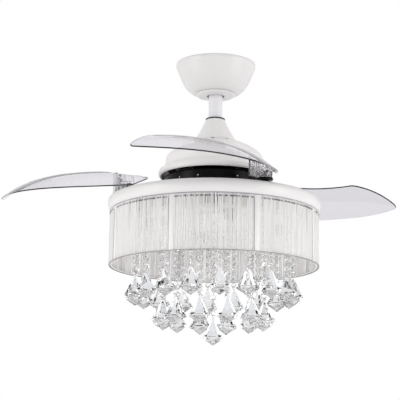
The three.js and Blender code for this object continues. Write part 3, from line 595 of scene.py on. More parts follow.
# ------------------------------------------------------------------ motor and its housing
class Housing(BuildStep):
    """Builds the motor housing with its vents, and finishes the motor inside it"""

    bl_idname = "fan.housing"
    bl_label = "Motor Housing"

    VENTS, FIRST_VENT, VENT_CIRCLE = 12, 265.0, 51.5
    VENT_SIZE = (13.0, 6.4, 24.0)

    def build(self):
        seam, brim = ends("motor_housing")
        wide = edge_radius("motor_housing")
        side = wide - 14.6
        shoulder = brim + 49.5
        crown = flowing([(40.4, seam), (57.0, seam - 7.0), (71.0, seam - 13.6), (side - 10.6, shoulder),
                         (side - 4.4, shoulder - 5.6), (side, shoulder - 12.5), (side + 1.0, brim + 28.0),
                         (side + 1.8, brim + 19.6)])
        roll = flowing([(side + 3.4, brim + 17.2), (wide - 4.6, brim + 14.0), (wide - 0.9, brim + 10.6),
                        (wide, brim + 6.6), (wide - 0.7, brim + 2.4), (wide - 3.0, brim)], 4)
        inner_roll = [(wide - 5.0, brim + 0.8), (wide - 4.6, brim + 10.5), (side - 0.2, brim + 15.6)]
        inner = [(r - 1.0, z - 1.3) for r, z in crown[::-1]]
        profile = [(22.0, seam), *crown, *roll, *inner_roll, *inner[3:], (22.0, seam - 1.5)]
        shell = piece("motor_housing_shell", turned(profile, 144), "painted_light_enamel", HANGING,
                      ("motor_housing",))
        cutters = []
        for k in range(self.VENTS):
            vent = block(self.VENT_SIZE, 1.4)
            angle = self.FIRST_VENT + k * 360 / self.VENTS
            place = at(*polar(self.VENT_CIRCLE, angle, seam - 4.0), angle)
            bmesh.ops.transform(vent, matrix=place, verts=vent.verts)
            cutters.append(vent)
        combine(shell, cutters, "DIFFERENCE")
        # Painted shade: a black lining just inside the crown, so the vents show dark like the shade inside
        # the housing.
        screen = [(41.0, seam - 0.75), (57.0, seam - 7.6), (59.5, seam - 8.8), (59.5, seam - 9.2),
                  (57.0, seam - 8.0), (41.0, seam - 1.15)]
        piece("vent_shade_lining", turned(screen, 96), "black_nylon", HANGING)
        dress("plated_steel", "motor_shaft", "upper_bearing", "lower_bearing")
        dress("black_enamel", "rotor_case_top", "rotor_case_bottom")
        dress("laminations", "stator_core")
        dress("winding_wire", "lower_windings", "upper_windings")


# ------------------------------------------------------------------ blade carrier
PIVOT_RADIUS = 165.0
PIVOTS = {"front": -56.0, "left": -176.0, "right": 64.0}
OPENED = {"front": 54.7, "left": 107.8, "right": 79.9}


class BladeCarrier(BuildStep):
    """Builds the black hub with its ribs and screws, the lobed plate, pins and springs"""

    bl_idname = "fan.blade_carrier"
    bl_label = "Blade Hub and Plate"

    RIBS = 18
    DISC_BORE, DISC_EDGE, ARM_END = 18.0, 96.0, 14.0
    ARM_LENGTH, ARM_WIDTH, ARM_MIDDLE = 103.0, 80.0, 111.5
    WINDOW, WINDOW_CIRCLE = 34.0, 61.0
    HUB_SCREWS = (227, 251, 296, 331, 11, 56, 101, 146, 191)

    def build(self):
        self.hub()
        self.plate()
        for name, azimuth in PIVOTS.items():
            self.pin(name, azimuth)
            self.spring(name, azimuth)

    def hub(self):
        wide = edge_radius("blade_hub")
        top, foot = ends("blade_hub")
        profile = eased([(10.8, top - 3), (10.8, top), (wide - 1.2, top), (wide, top - 2.2),
                         (wide, foot + 4.5), (wide - 1.6, foot + 4.5), (wide - 1.6, foot),
                         (wide - 3.2, foot), (wide - 3.2, top - 3)], 0.5, 3)
        drum = turned(profile, 144)
        rib = pattern(block((1.2, 1.6, top - foot - 7.5), 0.4))
        for k in range(self.RIBS):
            angle = k * 360 / self.RIBS + 7
            stamp(drum, rib, at(*polar(wide - 0.4, angle, (top + foot) / 2 + 1.2), angle))
        piece("hub_drum", drum, "black_enamel", ROTOR, ("blade_hub",))
        screws = bmesh.new()
        head = self.screw_head()
        for angle in self.HUB_SCREWS:
            stamp(screws, head, at(*polar(wide - 0.2, angle, (top + foot) / 2 + 1.5), angle)
                  @ Matrix.Rotation(math.pi / 2, 4, "Y"))
        piece("hub_screws", screws, "plated_steel", ROTOR)

    def screw_head(self):
        """A small pan head with a cross recess, looking along +Z."""
        bm = turned([(0, 0), (1.7, 0), (1.7, 0.5), (1.3, 1.0), (0.8, 1.2), (0.7, 0.7), (0, 0.7)], 16)
        return pattern(bm)

    def plate(self):
        """The lobed plate: a disc and three arms with round ends, cut and rimmed."""
        top, foot = ends("blade_plate")
        thick = top - foot
        middle = (top + foot) / 2
        disc = turned(band(self.DISC_BORE, self.DISC_EDGE, foot, top, 0.8, 2), 144)
        plate = piece("pivot_plate", disc, "black_enamel", ROTOR, ("blade_plate",))
        arm = block((self.ARM_LENGTH, self.ARM_WIDTH, thick - 0.02))
        for vert in arm.verts:
            vert.co.y *= 0.35 if vert.co.x > 0 else 1.0
        end = turned(band(0, self.ARM_END, -thick / 2, thick / 2, 0.8, 2), 40)
        shapes = ((pattern(arm), self.ARM_MIDDLE), (pattern(end), PIVOT_RADIUS))
        joined = []
        windows = []
        for azimuth in PIVOTS.values():
            for source, radius in shapes:
                bm = bmesh.new()
                stamp(bm, source, at(*polar(radius, azimuth, middle), azimuth))
                joined.append(bm)
            window = block((self.WINDOW, self.WINDOW, 30), 4.0, 3)
            turn = azimuth + 60
            place = at(*polar(self.WINDOW_CIRCLE, turn, middle), turn)
            bmesh.ops.transform(window, matrix=place, verts=window.verts)
            windows.append(window)
        combine(plate, joined, "UNION")
        combine(plate, windows, "DIFFERENCE")

    def pin(self, name, azimuth):
        node = f"{name}_pivot_pin"
        top, foot = ends(node)
        profile = eased([(0, foot), (5.5, foot), (6.5, foot + 2), (4.0, foot + 2), (4.0, top - 2.4),
                         (6.5, top - 2.4), (6.5, top - 1.0), (5.3, top), (1.9, top), (1.9, top - 1.1),
                         (0, top - 1.1)], 0.35, 3, False)
        pin = turned(profile, 48)
        bmesh.ops.transform(pin, matrix=at(*polar(PIVOT_RADIUS, azimuth)), verts=pin.verts)
        piece(f"{name}_pin", pin, "black_enamel", ROTOR, (node,))

    def spring(self, name, azimuth):
        """A torsion spring of round wire that starts with a short leg and winds up round the pin."""
        node = f"{name}_return_spring"
        low = ends(node)[1] + 0.8
        curls, radius, pitch, steps = 3, 8.0, 2.3, 24
        bm = bmesh.new()
        wire = bmesh.ops.create_circle(bm, segments=8, radius=0.75 * MM)["verts"]
        bmesh.ops.rotate(bm, cent=(0, 0, 0), matrix=Matrix.Rotation(math.pi / 2, 3, "X"), verts=wire)
        bmesh.ops.translate(bm, vec=(radius * MM, -1.5 * MM, low * MM), verts=wire)
        made = bmesh.ops.extrude_edge_only(bm, edges=bm.edges[:])["geom"]
        bmesh.ops.translate(bm, vec=(0, 1.5 * MM, 0), verts=verts_of(made))
        last = [e for e in made if isinstance(e, bmesh.types.BMEdge) and len(e.link_faces) == 1]
        bmesh.ops.spin(bm, geom=last, cent=(0, 0, 0), axis=(0, 0, 1), angle=2 * math.pi * curls,
                       dvec=(0, 0, pitch / steps * MM), steps=steps * curls)
        bmesh.ops.remove_doubles(bm, verts=bm.verts, dist=1e-7)
        bmesh.ops.holes_fill(bm, edges=[e for e in bm.edges if e.is_boundary])
        bmesh.ops.recalc_face_normals(bm, faces=bm.faces)
        bmesh.ops.transform(bm, matrix=at(*polar(PIVOT_RADIUS, azimuth), azimuth), verts=bm.verts)
        piece(f"{name}_spring", bm, "plated_steel", ROTOR, (node,), smooth=50.0)


# ------------------------------------------------------------------ blades
class BladeForm:
    """The blade laid out folded, in millimetres, with the middle of its round heel on the +X axis."""

    HEEL_CIRCLE, HEEL, OUTER, INNER = 171.5, 14.5, 204.5, 110.5
    OUTER_SWEEP, OUTER_GROW = 117.0, 74.0
    INNER_SWEEP, INNER_GROW = 103.5, 36.0
    SPAN = 300.0
    ARCH = (154.6, -360.7, 408.3, -203.6)
    PITCH = (0.588, -1.392, 1.3)
    CAMBER, CREST, CAMBER_HALF = 7.9, 10.0, 50.0
    HEEL_SHARE = 0.09

    def __init__(self, root):
        self.root = root
        tip = Vector(polar(self.OUTER, -self.OUTER_SWEEP)[:2])
        self.along = (tip - Vector((self.HEEL_CIRCLE, 0))).normalized()
        self.outward = Vector((-self.along.y, self.along.x))

    def height(self, x, y):
        """Height of the blade's middle surface."""
        arm = Vector((x - self.HEEL_CIRCLE, y))
        run, side = arm.dot(self.along), arm.dot(self.outward)
        share = max(run, 0.0) / self.SPAN
        arch = sum(term * share ** (k + 1) for k, term in enumerate(self.ARCH))
        pitch = sum(term * share ** k for k, term in enumerate(self.PITCH))
        return self.root + arch - pitch * side - self.CAMBER * ((side - self.CREST) / self.CAMBER_HALF) ** 2

    def edges(self, u):
        """Outer and inner edge points at u, from the heel at 0 to the tip at 1."""
        middle, heel = self.HEEL_CIRCLE, self.HEEL
        if u < self.HEEL_SHARE:
            angle = math.radians(10 + 80 * u / self.HEEL_SHARE)
            s, c = heel * math.sin(angle), heel * math.cos(angle)
            return (middle + s, c), (middle - s, c)
        t = (u - self.HEEL_SHARE) / (1 - self.HEEL_SHARE)
        a, b = self.OUTER_SWEEP * t, self.INNER_SWEEP * t
        grown = math.sin(math.pi / 2 * min(a / self.OUTER_GROW, 1.0)) ** 1.5
        outer = middle + heel + (self.OUTER - middle - heel) * grown
        s = min(b / self.INNER_GROW, 1.0)
        inner = middle - heel + (self.INNER - middle + heel) * s * s * (3 - 2 * s)
        return polar(outer, -a)[:2], polar(inner, -b)[:2]

    def point(self, u, v):
        """A point of the outline at u along it and v across it; the tip's corners are rounded."""
        near = max(0.0, 1 - min(v, 1 - v) / 0.08)
        back = (0.034 - 0.016 * v) * (1 - math.sqrt(max(0.0, 1 - near * near)))
        u = min(u, 1.0 - back) if u > 0.5 else u
        outer, inner = self.edges(u)
        x = inner[0] + (outer[0] - inner[0]) * v
        y = inner[1] + (outer[1] - inner[1]) * v
        return x, y


class Blades(BuildStep):
    """Builds the three clear blades and the clear holders that clamp them"""

    bl_idname = "fan.blades"
    bl_label = "Blades"

    ALONG, ACROSS = 84, 16
    HEEL_LEAD = 7.0
    ROOT_BELOW_BRIM = 6.1
    HOLDER_HALF, HOLDER_LENGTH, HOLDER_REACH = 12.4, 22.0, 31.0
    BLADE_SCREWS = ((-26.0, -17.0), (-12.0, -14.0), (7.0, -17.0))

    def build(self):
        form = BladeForm(ends("motor_housing")[1] - self.ROOT_BELOW_BRIM)
        lead = Matrix.Rotation(math.radians(self.HEEL_LEAD), 4, "Z")
        for name in SIDES:
            fold = at(PIVOT_RADIUS, 0, 0, OPENED[name]) @ at(-PIVOT_RADIUS, 0, 0)
            swing = at(0, 0, 0, PIVOTS[name]) @ fold
            self.blade(name, form, swing @ lead)
            self.holder(name, form, swing)

    def blade(self, name, form, place):
        thick = sizes().blade_thickness / MM
        bm = bmesh.new()
        bmesh.ops.create_grid(bm, x_segments=self.ALONG, y_segments=self.ACROSS, size=0.5)
        for vert in bm.verts:
            u = vert.co.x + 0.5
            v = (1 - math.cos(math.pi * (vert.co.y + 0.5))) / 2
            x, y = form.point(u, v)
            vert.co = (x * MM, y * MM, (form.height(x, y) + thick / 2) * MM)
        bmesh.ops.recalc_face_normals(bm, faces=bm.faces)
        if bm.faces[:][0].normal.z < 0:
            bmesh.ops.reverse_faces(bm, faces=bm.faces[:])
        bmesh.ops.solidify(bm, geom=bm.faces[:], thickness=thick * MM)
        for face in bm.faces:
            if abs(face.normal.z) < 0.6:
                face.material_index = 1
        sharp = [e for e in bm.edges if len(e.link_faces) == 2
                 and e.link_faces[0].material_index != e.link_faces[1].material_index]
        bmesh.ops.bevel(bm, geom=sharp, offset=0.5 * MM, segments=2, profile=0.5, affect="EDGES",
                        material=-1)
        bmesh.ops.recalc_face_normals(bm, faces=bm.faces)
        bmesh.ops.transform(bm, matrix=place, verts=bm.verts)
        piece(f"{name}_clear_blade", bm, "smoky_acrylic", f"{name}_folding_blade",
              (f"{name}_blade",), 40.0, extra=("acrylic_edge",))

    def under_blade(self, form, x, y):
        """Height of the blade's underside over a point of the holder."""
        turned_back = Matrix.Rotation(math.radians(-self.HEEL_LEAD), 2) @ Vector((x, y))
        return form.height(*turned_back) - sizes().blade_thickness / MM / 2

    def holder(self, name, form, swing):
        """A clear wedge between plate and blade: walls, ribs and a hollow boss round the pin."""
        node = f"{name}_blade_holder"
        floor = ends(node)[1]
        half, length, reach = self.HOLDER_HALF, self.HOLDER_LENGTH, self.HOLDER_REACH
        boss = eased([(10.7, floor), (half, floor), (half, floor + 11.2), (4.5, floor + 11.2),
                      (4.5, floor + 9.2), (10.7, floor + 9.2)], 0.6, 2)
        bm = turned(boss, 40)
        bmesh.ops.translate(bm, vec=(PIVOT_RADIUS * MM, 0, 0), verts=bm.verts)
        far, near, side = -reach + 1, half - 1, -length + 1
        walls = [((far, side), (near, side), 2.0), ((far, side), (-4.0, 11.6), 1.8),
                 ((near + 0.1, side), (near + 0.1, 0.0), 1.8), ((far + 13, side + 1), (-13.0, -2.0), 1.5),
                 ((-12.0, side + 1), (-10.5, -6.0), 1.5), ((far + 5, side + 7), (-11.0, side + 8), 1.5),
                 ((0.0, side + 1), (0.0, -13.2), 1.5)]
        for start, end, thick in walls:
            self.wall(bm, form, floor, Vector(start), Vector(end), thick)
        bmesh.ops.transform(bm, matrix=swing, verts=bm.verts)
        piece(f"{name}_clear_holder", bm, "clear_moulding", f"{name}_folding_blade", (node,), 40.0)
        self.screws(name, form, swing)

    def wall(self, bm, form, floor, start, end, thick):
        """An upright wall from one place to another, from the plate up to the blade's underside."""
        run = end - start
        slab = block((run.length, thick, 1.0), 0.25, 2)
        for cut in range(1, 5):
            bmesh.ops.bisect_plane(slab, geom=slab.verts[:] + slab.edges[:] + slab.faces[:],
                                   plane_co=((cut / 5 - 0.5) * run.length * MM, 0, 0), plane_no=(1, 0, 0))
        turn = Matrix.Rotation(math.atan2(run.y, run.x), 2)
        for vert in slab.verts:
            place = (start + end) / 2 + turn @ (vert.co.xy / MM) + Vector((PIVOT_RADIUS, 0))
            ceiling = self.under_blade(form, *place) - 0.3
            height = floor + (ceiling - floor) * (vert.co.z / MM + 0.5)
            vert.co = (place.x * MM, place.y * MM, height * MM)
        stamp(bm, pattern(slab), Matrix.Identity(4))

    def screws(self, name, form, swing):
        """Three small screws through the blade into its holder."""
        bm = bmesh.new()
        head = turned([(0, 0), (2.6, 0), (2.6, 0.8), (1.8, 1.5), (0.9, 1.6), (0.7, 1.0), (0, 1.0)], 20)
        head = pattern(head)
        for x, y in self.BLADE_SCREWS:
            z = self.under_blade(form, PIVOT_RADIUS + x, y) + sizes().blade_thickness / MM
            stamp(bm, head, at(PIVOT_RADIUS + x, y, z))
        bmesh.ops.transform(bm, matrix=swing, verts=bm.verts)
        piece(f"{name}_blade_screws", bm, "plated_steel", f"{name}_folding_blade", (), 40.0)


# ------------------------------------------------------------------ light pan and shade
class LightPan(BuildStep):
    """Builds the round light pan with its rolled rim"""

    bl_idname = "fan.light_pan"
    bl_label = "Light Pan"

    def build(self):
        wide = edge_radius("light_pan")
        top, foot = ends("light_pan")
        bore = 8.8
        rim = flowing([(wide - 7.5, top), (wide - 1.8, top - 3.0), (wide, top - 8.5),
                       (wide - 0.3, top - 15.0), (wide - 2.2, top - 21.0), (198.8, foot)])
        inner = [(r - 1.5, z + (0 if z < top - 4 else -1.2)) for r, z in rim[::-1]]
        profile = [(bore, top), (60.0, top), *rim, *inner, (60.0, top - 1.4), (bore, top - 1.4)]
        piece("light_pan_shell", turned(profile, 192), "white_enamel", HANGING, ("light_pan",))
        dress("plated_steel", "pan_nut")


class ThreadShade(BuildStep):
    """Builds the thread curtain in two layers, its trims, and the frame that carries it"""

    bl_idname = "fan.thread_shade"
    bl_label = "Thread Shade"

    STRUTS, FIRST_STRUT = 8, 292.5
    PARTING, KNOTS_END = 5.2, 7.0
    SPANS = 4

    def build(self):
        random.seed(11)
        self.top, self.foot = ends("thread_curtain")
        self.wide = edge_radius("thread_curtain")
        self.threads("outer_threads", self.wide - 0.35, 0.0)
        self.threads("inner_threads", self.wide - 2.2, 0.5)
        self.trims()
        self.frame()

    def thread(self, width):
        """One thread: a flat four-sided strand with a few spans."""
        bm = bmesh.new()
        ring = bmesh.ops.create_circle(bm, segments=4, radius=0.5 * MM)["verts"]
        bmesh.ops.rotate(bm, cent=(0, 0, 0), matrix=Matrix.Rotation(math.pi / 4, 3, "Z"), verts=ring)
        bmesh.ops.scale(bm, vec=(0.5, width * 1.4, 1), verts=ring)
        loop = bm.edges[:]
        step = (self.top - self.foot - 1.0) / self.SPANS * MM
        for _ in range(self.SPANS):
            made = bmesh.ops.extrude_edge_only(bm, edges=loop)["geom"]
            bmesh.ops.translate(bm, vec=(0, 0, step), verts=verts_of(made))
            loop = [e for e in made if isinstance(e, bmesh.types.BMEdge)]
        bmesh.ops.recalc_face_normals(bm, faces=bm.faces)
        return pattern(bm)

    def beside_strut(self, angle):
        """Degrees from an azimuth to the middle of the nearest strut."""
        spacing = 360 / self.STRUTS
        return abs((angle - self.FIRST_STRUT + spacing / 2) % spacing - spacing / 2)

    def threads(self, name, radius, offset):
        """One layer of threads, drawn together in clumps and parted at the struts."""
        count = sizes().thread_count
        stray = sizes().thread_stray / MM
        widths = [self.thread(sizes().thread_width / MM * k) for k in (0.7, 0.9, 1.1, 1.35)]
        bm = bmesh.new()
        clump = 0.0
        for k in range(count):
            clump = 0.8 * clump + random.gauss(0, stray)
            angle = (k + offset) * 360 / count + math.degrees(clump / radius)
            if self.beside_strut(angle) < math.degrees(self.PARTING / radius):
                continue
            start = len(bm.verts)
            strand = random.choice(widths)
            foot = polar(radius + random.uniform(-0.3, 0.3), angle, self.foot + 0.5)
            stamp(bm, strand, at(*foot, angle))
            lean = random.gauss(0, 0.35)
            sway = [random.gauss(0, 0.10) for _ in range(self.SPANS + 1)]
            bm.verts.ensure_lookup_table()
            out = Vector((-math.sin(math.radians(angle)), math.cos(math.radians(angle)), 0))
            for vert in bm.verts[start:]:
                share = (vert.co.z / MM - self.foot) / (self.top - self.foot)
                row = min(int(share * self.SPANS + 0.5), self.SPANS)
                vert.co += out * (lean * (share - 0.5) + sway[row]) * MM
        piece(name, bm, "thread", HANGING, ("thread_curtain",), 60.0)

    def trims(self):
        wide = self.wide + 0.15
        for name, low, high, key in (("lower_trim", self.foot - 0.1, self.foot + 1.1, "trim"),
                                     ("upper_trim", self.top - 1.2, self.top, "strut_shade_and_top_trim")):
            piece(name, turned(band(wide - 3.2, wide, low, high), 192), key, HANGING)

    def frame(self):
        bm = bmesh.new()
        wide = self.wide - 3.4
        for z in (self.foot + 1.2, self.top - 2.6):
            ring = turned(band(wide - 2.4, wide, z, z + 2.4, 0.9), 144)
            stamp(bm, pattern(ring), Matrix.Identity(4))
        bar = pattern(block((1.4, 10.0, self.top - self.foot - 2.0), 0.5))
        for k in range(self.STRUTS):
            angle = self.FIRST_STRUT + k * 360 / self.STRUTS
            stamp(bm, bar, at(*polar(self.wide - 1.2, angle, (self.top + self.foot) / 2), angle))
        piece("shade_bars_and_rings", bm, "frame_enamel", HANGING,
              ("shade_frame", "shade_foot_ring"))
        self.strut_shade_strips()
        self.painted_shade_dashes(self.wide + 0.1)

    def strut_shade_strips(self):
        """A dark grey strip down one side of each bar: painted shade where the bar meets the threads."""
        bm = bmesh.new()
        bead = pattern(block((1.6, 1.3, self.top - self.foot - 9.0), 0.3))
        for k in range(self.STRUTS):
            angle = self.FIRST_STRUT + k * 360 / self.STRUTS - math.degrees(5.6 / self.wide)
            stamp(bm, bead, at(*polar(self.wide - 0.9, angle, (self.top + self.foot) / 2 - 3.0), angle))
        piece("shade_bar_shade_strips", bm, "strut_shade_and_top_trim", HANGING)

    def painted_shade_dashes(self, radius):
        """The broken dark line under the upper trim: painted shade, dark dashes for the shadow seen through
        the threads just below the pan.
        """
        bm = bmesh.new()
        angle = 0.0
        while angle < 360.0:
            long = random.uniform(0.8, 2.6)
            if self.beside_strut(angle) > math.degrees(self.KNOTS_END / radius):
                dash = block((0.3, long, random.uniform(1.8, 3.2)))
                height = self.top - random.uniform(5.8, 6.6)
                stamp(bm, pattern(dash), at(*polar(radius, angle, height), angle))
            angle += math.degrees((long + random.choice((0.6, 1.0, 1.6, 4.0))) / radius)
        piece("thread_shade_dashes", bm, "painted_gap_shade", HANGING)


# ------------------------------------------------------------------ crystal plate and lamps
class CrystalPlate(BuildStep):
    """Builds the plate that carries the crystals, its posts and nuts"""

    bl_idname = "fan.crystal_plate"
    bl_label = "Crystal Plate"

    POST_CIRCLE = 60.0

    def build(self):
        wide = edge_radius("crystal_plate")
        high, low = ends("crystal_plate")
        top = low + 6.5
        profile = eased([(0, top), (wide, top), (wide, low), (wide - 1.5, low), (wide - 1.5, top - 1.6),
                         (0, top - 1.6)], 1.0, 4, False)
        bm = turned(profile, 144)
        post = pattern(turned(band(0, 4, top - 0.5, high, steps=2), 24))
        nut = pattern(turned(band(0, 7, top - 0.5, top + 3, steps=2), 6))
        for k in range(4):
            place = at(*polar(self.POST_CIRCLE, 45 + 90 * k))
            stamp(bm, post, place)
            stamp(bm, nut, place)
        piece("crystal_tray", bm, "white_enamel", HANGING, ("crystal_plate",))


class Lamps(BuildStep):
    """Builds the four lamp holders and their bulbs"""

    bl_idname = "fan.lamps"
    bl_label = "Lamps"

    def build(self):
        for k in range(1, 5):
            self.holder(k)
            self.bulb(k)

    def centre(self, node):
        low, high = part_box(node)
        return (low[0] + high[0]) / 2 / MM, (low[1] + high[1]) / 2 / MM

    def holder(self, k):
        node = f"lamp_holder_{k}"
        x, y = self.centre(node)
        top, foot = ends(node)
        profile = eased([(0, top), (12.3, top), (12.3, top - 2), (9.6, top - 3.2), (9.6, top - 9),
                         (8.8, top - 9.6), (9.6, top - 10.2), (9.6, foot + 1), (8.6, foot), (6.4, foot),
                         (6.4, foot + 2), (0, foot + 2)], 0.4, 2, False)
        bm = turned(profile, 40)
        bmesh.ops.transform(bm, matrix=at(x, y, 0), verts=bm.verts)
        piece(f"lamp_socket_{k}", bm, "lamp_plastic", HANGING, (node,))

    def bulb(self, k):
        node = f"bulb_{k}"
        x, y = self.centre(node)
        top, foot = ends(node)
        glass = flowing([(5.6, top - 8.0), (6.6, top - 11.5), (6.8, top - 18.0), (6.7, foot + 7.0),
                         (5.4, foot + 2.6), (2.8, foot + 0.5), (0.0, foot)])
        profile = [(0, top), (5.8, top), (5.8, top - 7.4), *glass]
        bm = turned(profile, 40, False)
        bmesh.ops.transform(bm, matrix=at(x, y, 0), verts=bm.verts)
        piece(f"capsule_bulb_{k}", bm, "bulb_glass", HANGING, (node,), 40.0)


# ------------------------------------------------------------------ crystals
class Crystals(BuildStep):
    """Builds the strings of cut beads and the pendants, tier by tier"""

    bl_idname = "fan.crystals"
    bl_label = "Crystals"

    BEAD_PITCH = 15.0
    UPPER, LOWER = 39.0, 14.0
    TIERS = (
        ("outer", ("outer_crystals_right", "outer_crystals_left"), 18, 150.0, 7, 274.3),
        ("inner", ("inner_crystals_right", "inner_crystals_left"), 12, 98.6, 10, 285.0),
    )
    CENTRE_BEADS = 12

    def build(self):
        random.seed(5)
        self.bead = self.cut_bead()
        self.drop = self.cut_pendant()
        self.link = pattern(loop_of_wire(2.1, sizes().link_wire / MM))
        for tier, nodes, count, circle, beads, turn in self.TIERS:
            angles = [turn + k * 360 / count for k in range(count)]
            places = [(*polar(circle, angle)[:2], angle) for angle in angles]
            top = ends(nodes[0])[0]
            hoop = turned(band(circle - 3, circle + 3, top - 2, top, 0.5), 120)
            piece(f"{tier}_hoop", hoop, "plated_steel", HANGING)
            self.strings(tier, nodes, places, beads, top - 2, HANGING)
        node = "centre_crystal_string"
        top = ends(node)[0]
        knob = turned([(2.4 * math.cos(a), top - 2.4 + 2.4 * math.sin(a))
                       for a in [math.radians(-90 + 15 * k) for k in range(13)]], 24, False)
        piece("centre_hook", knob, "plated_steel", "centre_string")
        self.strings("centre", (node,), [(0.0, 0.0, 270.0)], self.CENTRE_BEADS, top - 2.4, "centre_string")

    def circles(self, bm, levels):
        """Rings of (radius, height, turn, shift) bridged into a facetted body, ends closed."""
        loops = []
        for radius, z, turn, shift in levels:
            verts = bmesh.ops.create_circle(bm, segments=8, radius=radius * MM)["verts"]
            for k, vert in enumerate(verts):
                angle = turn + (shift if k % 2 else -shift)
                vert.co = Matrix.Rotation(math.radians(angle), 3, "Z") @ vert.co
                vert.co.z = z * MM
            loops.append(list({e for v in verts for e in v.link_edges}))
        for low, high in zip(loops, loops[1:]):
            bmesh.ops.bridge_loops(bm, edges=low + high)
        bmesh.ops.holes_fill(bm, edges=[e for e in bm.edges if e.is_boundary])
        bmesh.ops.triangulate(bm, faces=[f for f in bm.faces if len(f.verts) > 3])
        bmesh.ops.recalc_face_normals(bm, faces=bm.faces)

    def cut_pendant(self):
        """A pyramid drop: broad and narrow facets above the girdle, a pointed star below it."""
        half = sizes().pendant_width / MM / 2
        bm = bmesh.new()
        self.circles(bm, [(1.5, -0.8, 0, 0), (3.4, -5.0, 0, 10.0), (half, 0.8 - self.UPPER, 0, 10.0),
                          (half, -0.8 - self.UPPER, 0, 10.0), (half * 0.6, -5.6 - self.UPPER, 22.5, 0),
                          (0.5, -self.UPPER - self.LOWER, 22.5, 0)])
        return pattern(bm)

    def cut_bead(self):
        """A flat eight-sided bead with a table on each face, hanging in the XZ plane."""
        half, depth = sizes().bead_width / MM / 2, sizes().bead_depth / MM
        bm = bmesh.new()
        self.circles(bm, [(half * 0.6, -depth / 2, 22.5, 0), (half, -depth * 0.08, 22.5, 0),
                          (half, depth * 0.08, 22.5, 0), (half * 0.6, depth / 2, 22.5, 0)])
        bmesh.ops.rotate(bm, cent=(0, 0, 0), matrix=Matrix.Rotation(math.pi / 2, 3, "X"), verts=bm.verts)
        return pattern(bm)

    def strings(self, tier, nodes, places, beads, top, body):
        """The strings of one tier: beads on wire links, each string with a drop at its end."""
        glass, wire, drops = bmesh.new(), bmesh.new(), bmesh.new()
        for x, y, azimuth in places:
            for k in range(beads):
                z = top - self.BEAD_PITCH * (k + 0.5)
                facing = random.gauss(0, 24)
                lean = Matrix.Rotation(random.gauss(0, 0.05), 4, "Y")
                stamp(glass, self.bead, at(x, y, z, facing) @ lean)
                stamp(wire, self.link, at(x, y, z + self.BEAD_PITCH / 2, facing + 80))
            apex = top - self.BEAD_PITCH * beads
            stamp(wire, self.link, at(x, y, apex + 0.4, azimuth + random.uniform(60, 120)))
            stamp(drops, self.drop, at(x, y, apex, random.gauss(-22.5, 15)))
        piece(f"{tier}_beads", glass, "crystal", body, nodes, 0.0)
        piece(f"{tier}_links", wire, "plated_steel", body, (), 60.0)
        piece(f"{tier}_pendants", drops, "shaded_drop_glass", body, nodes, 0.0)


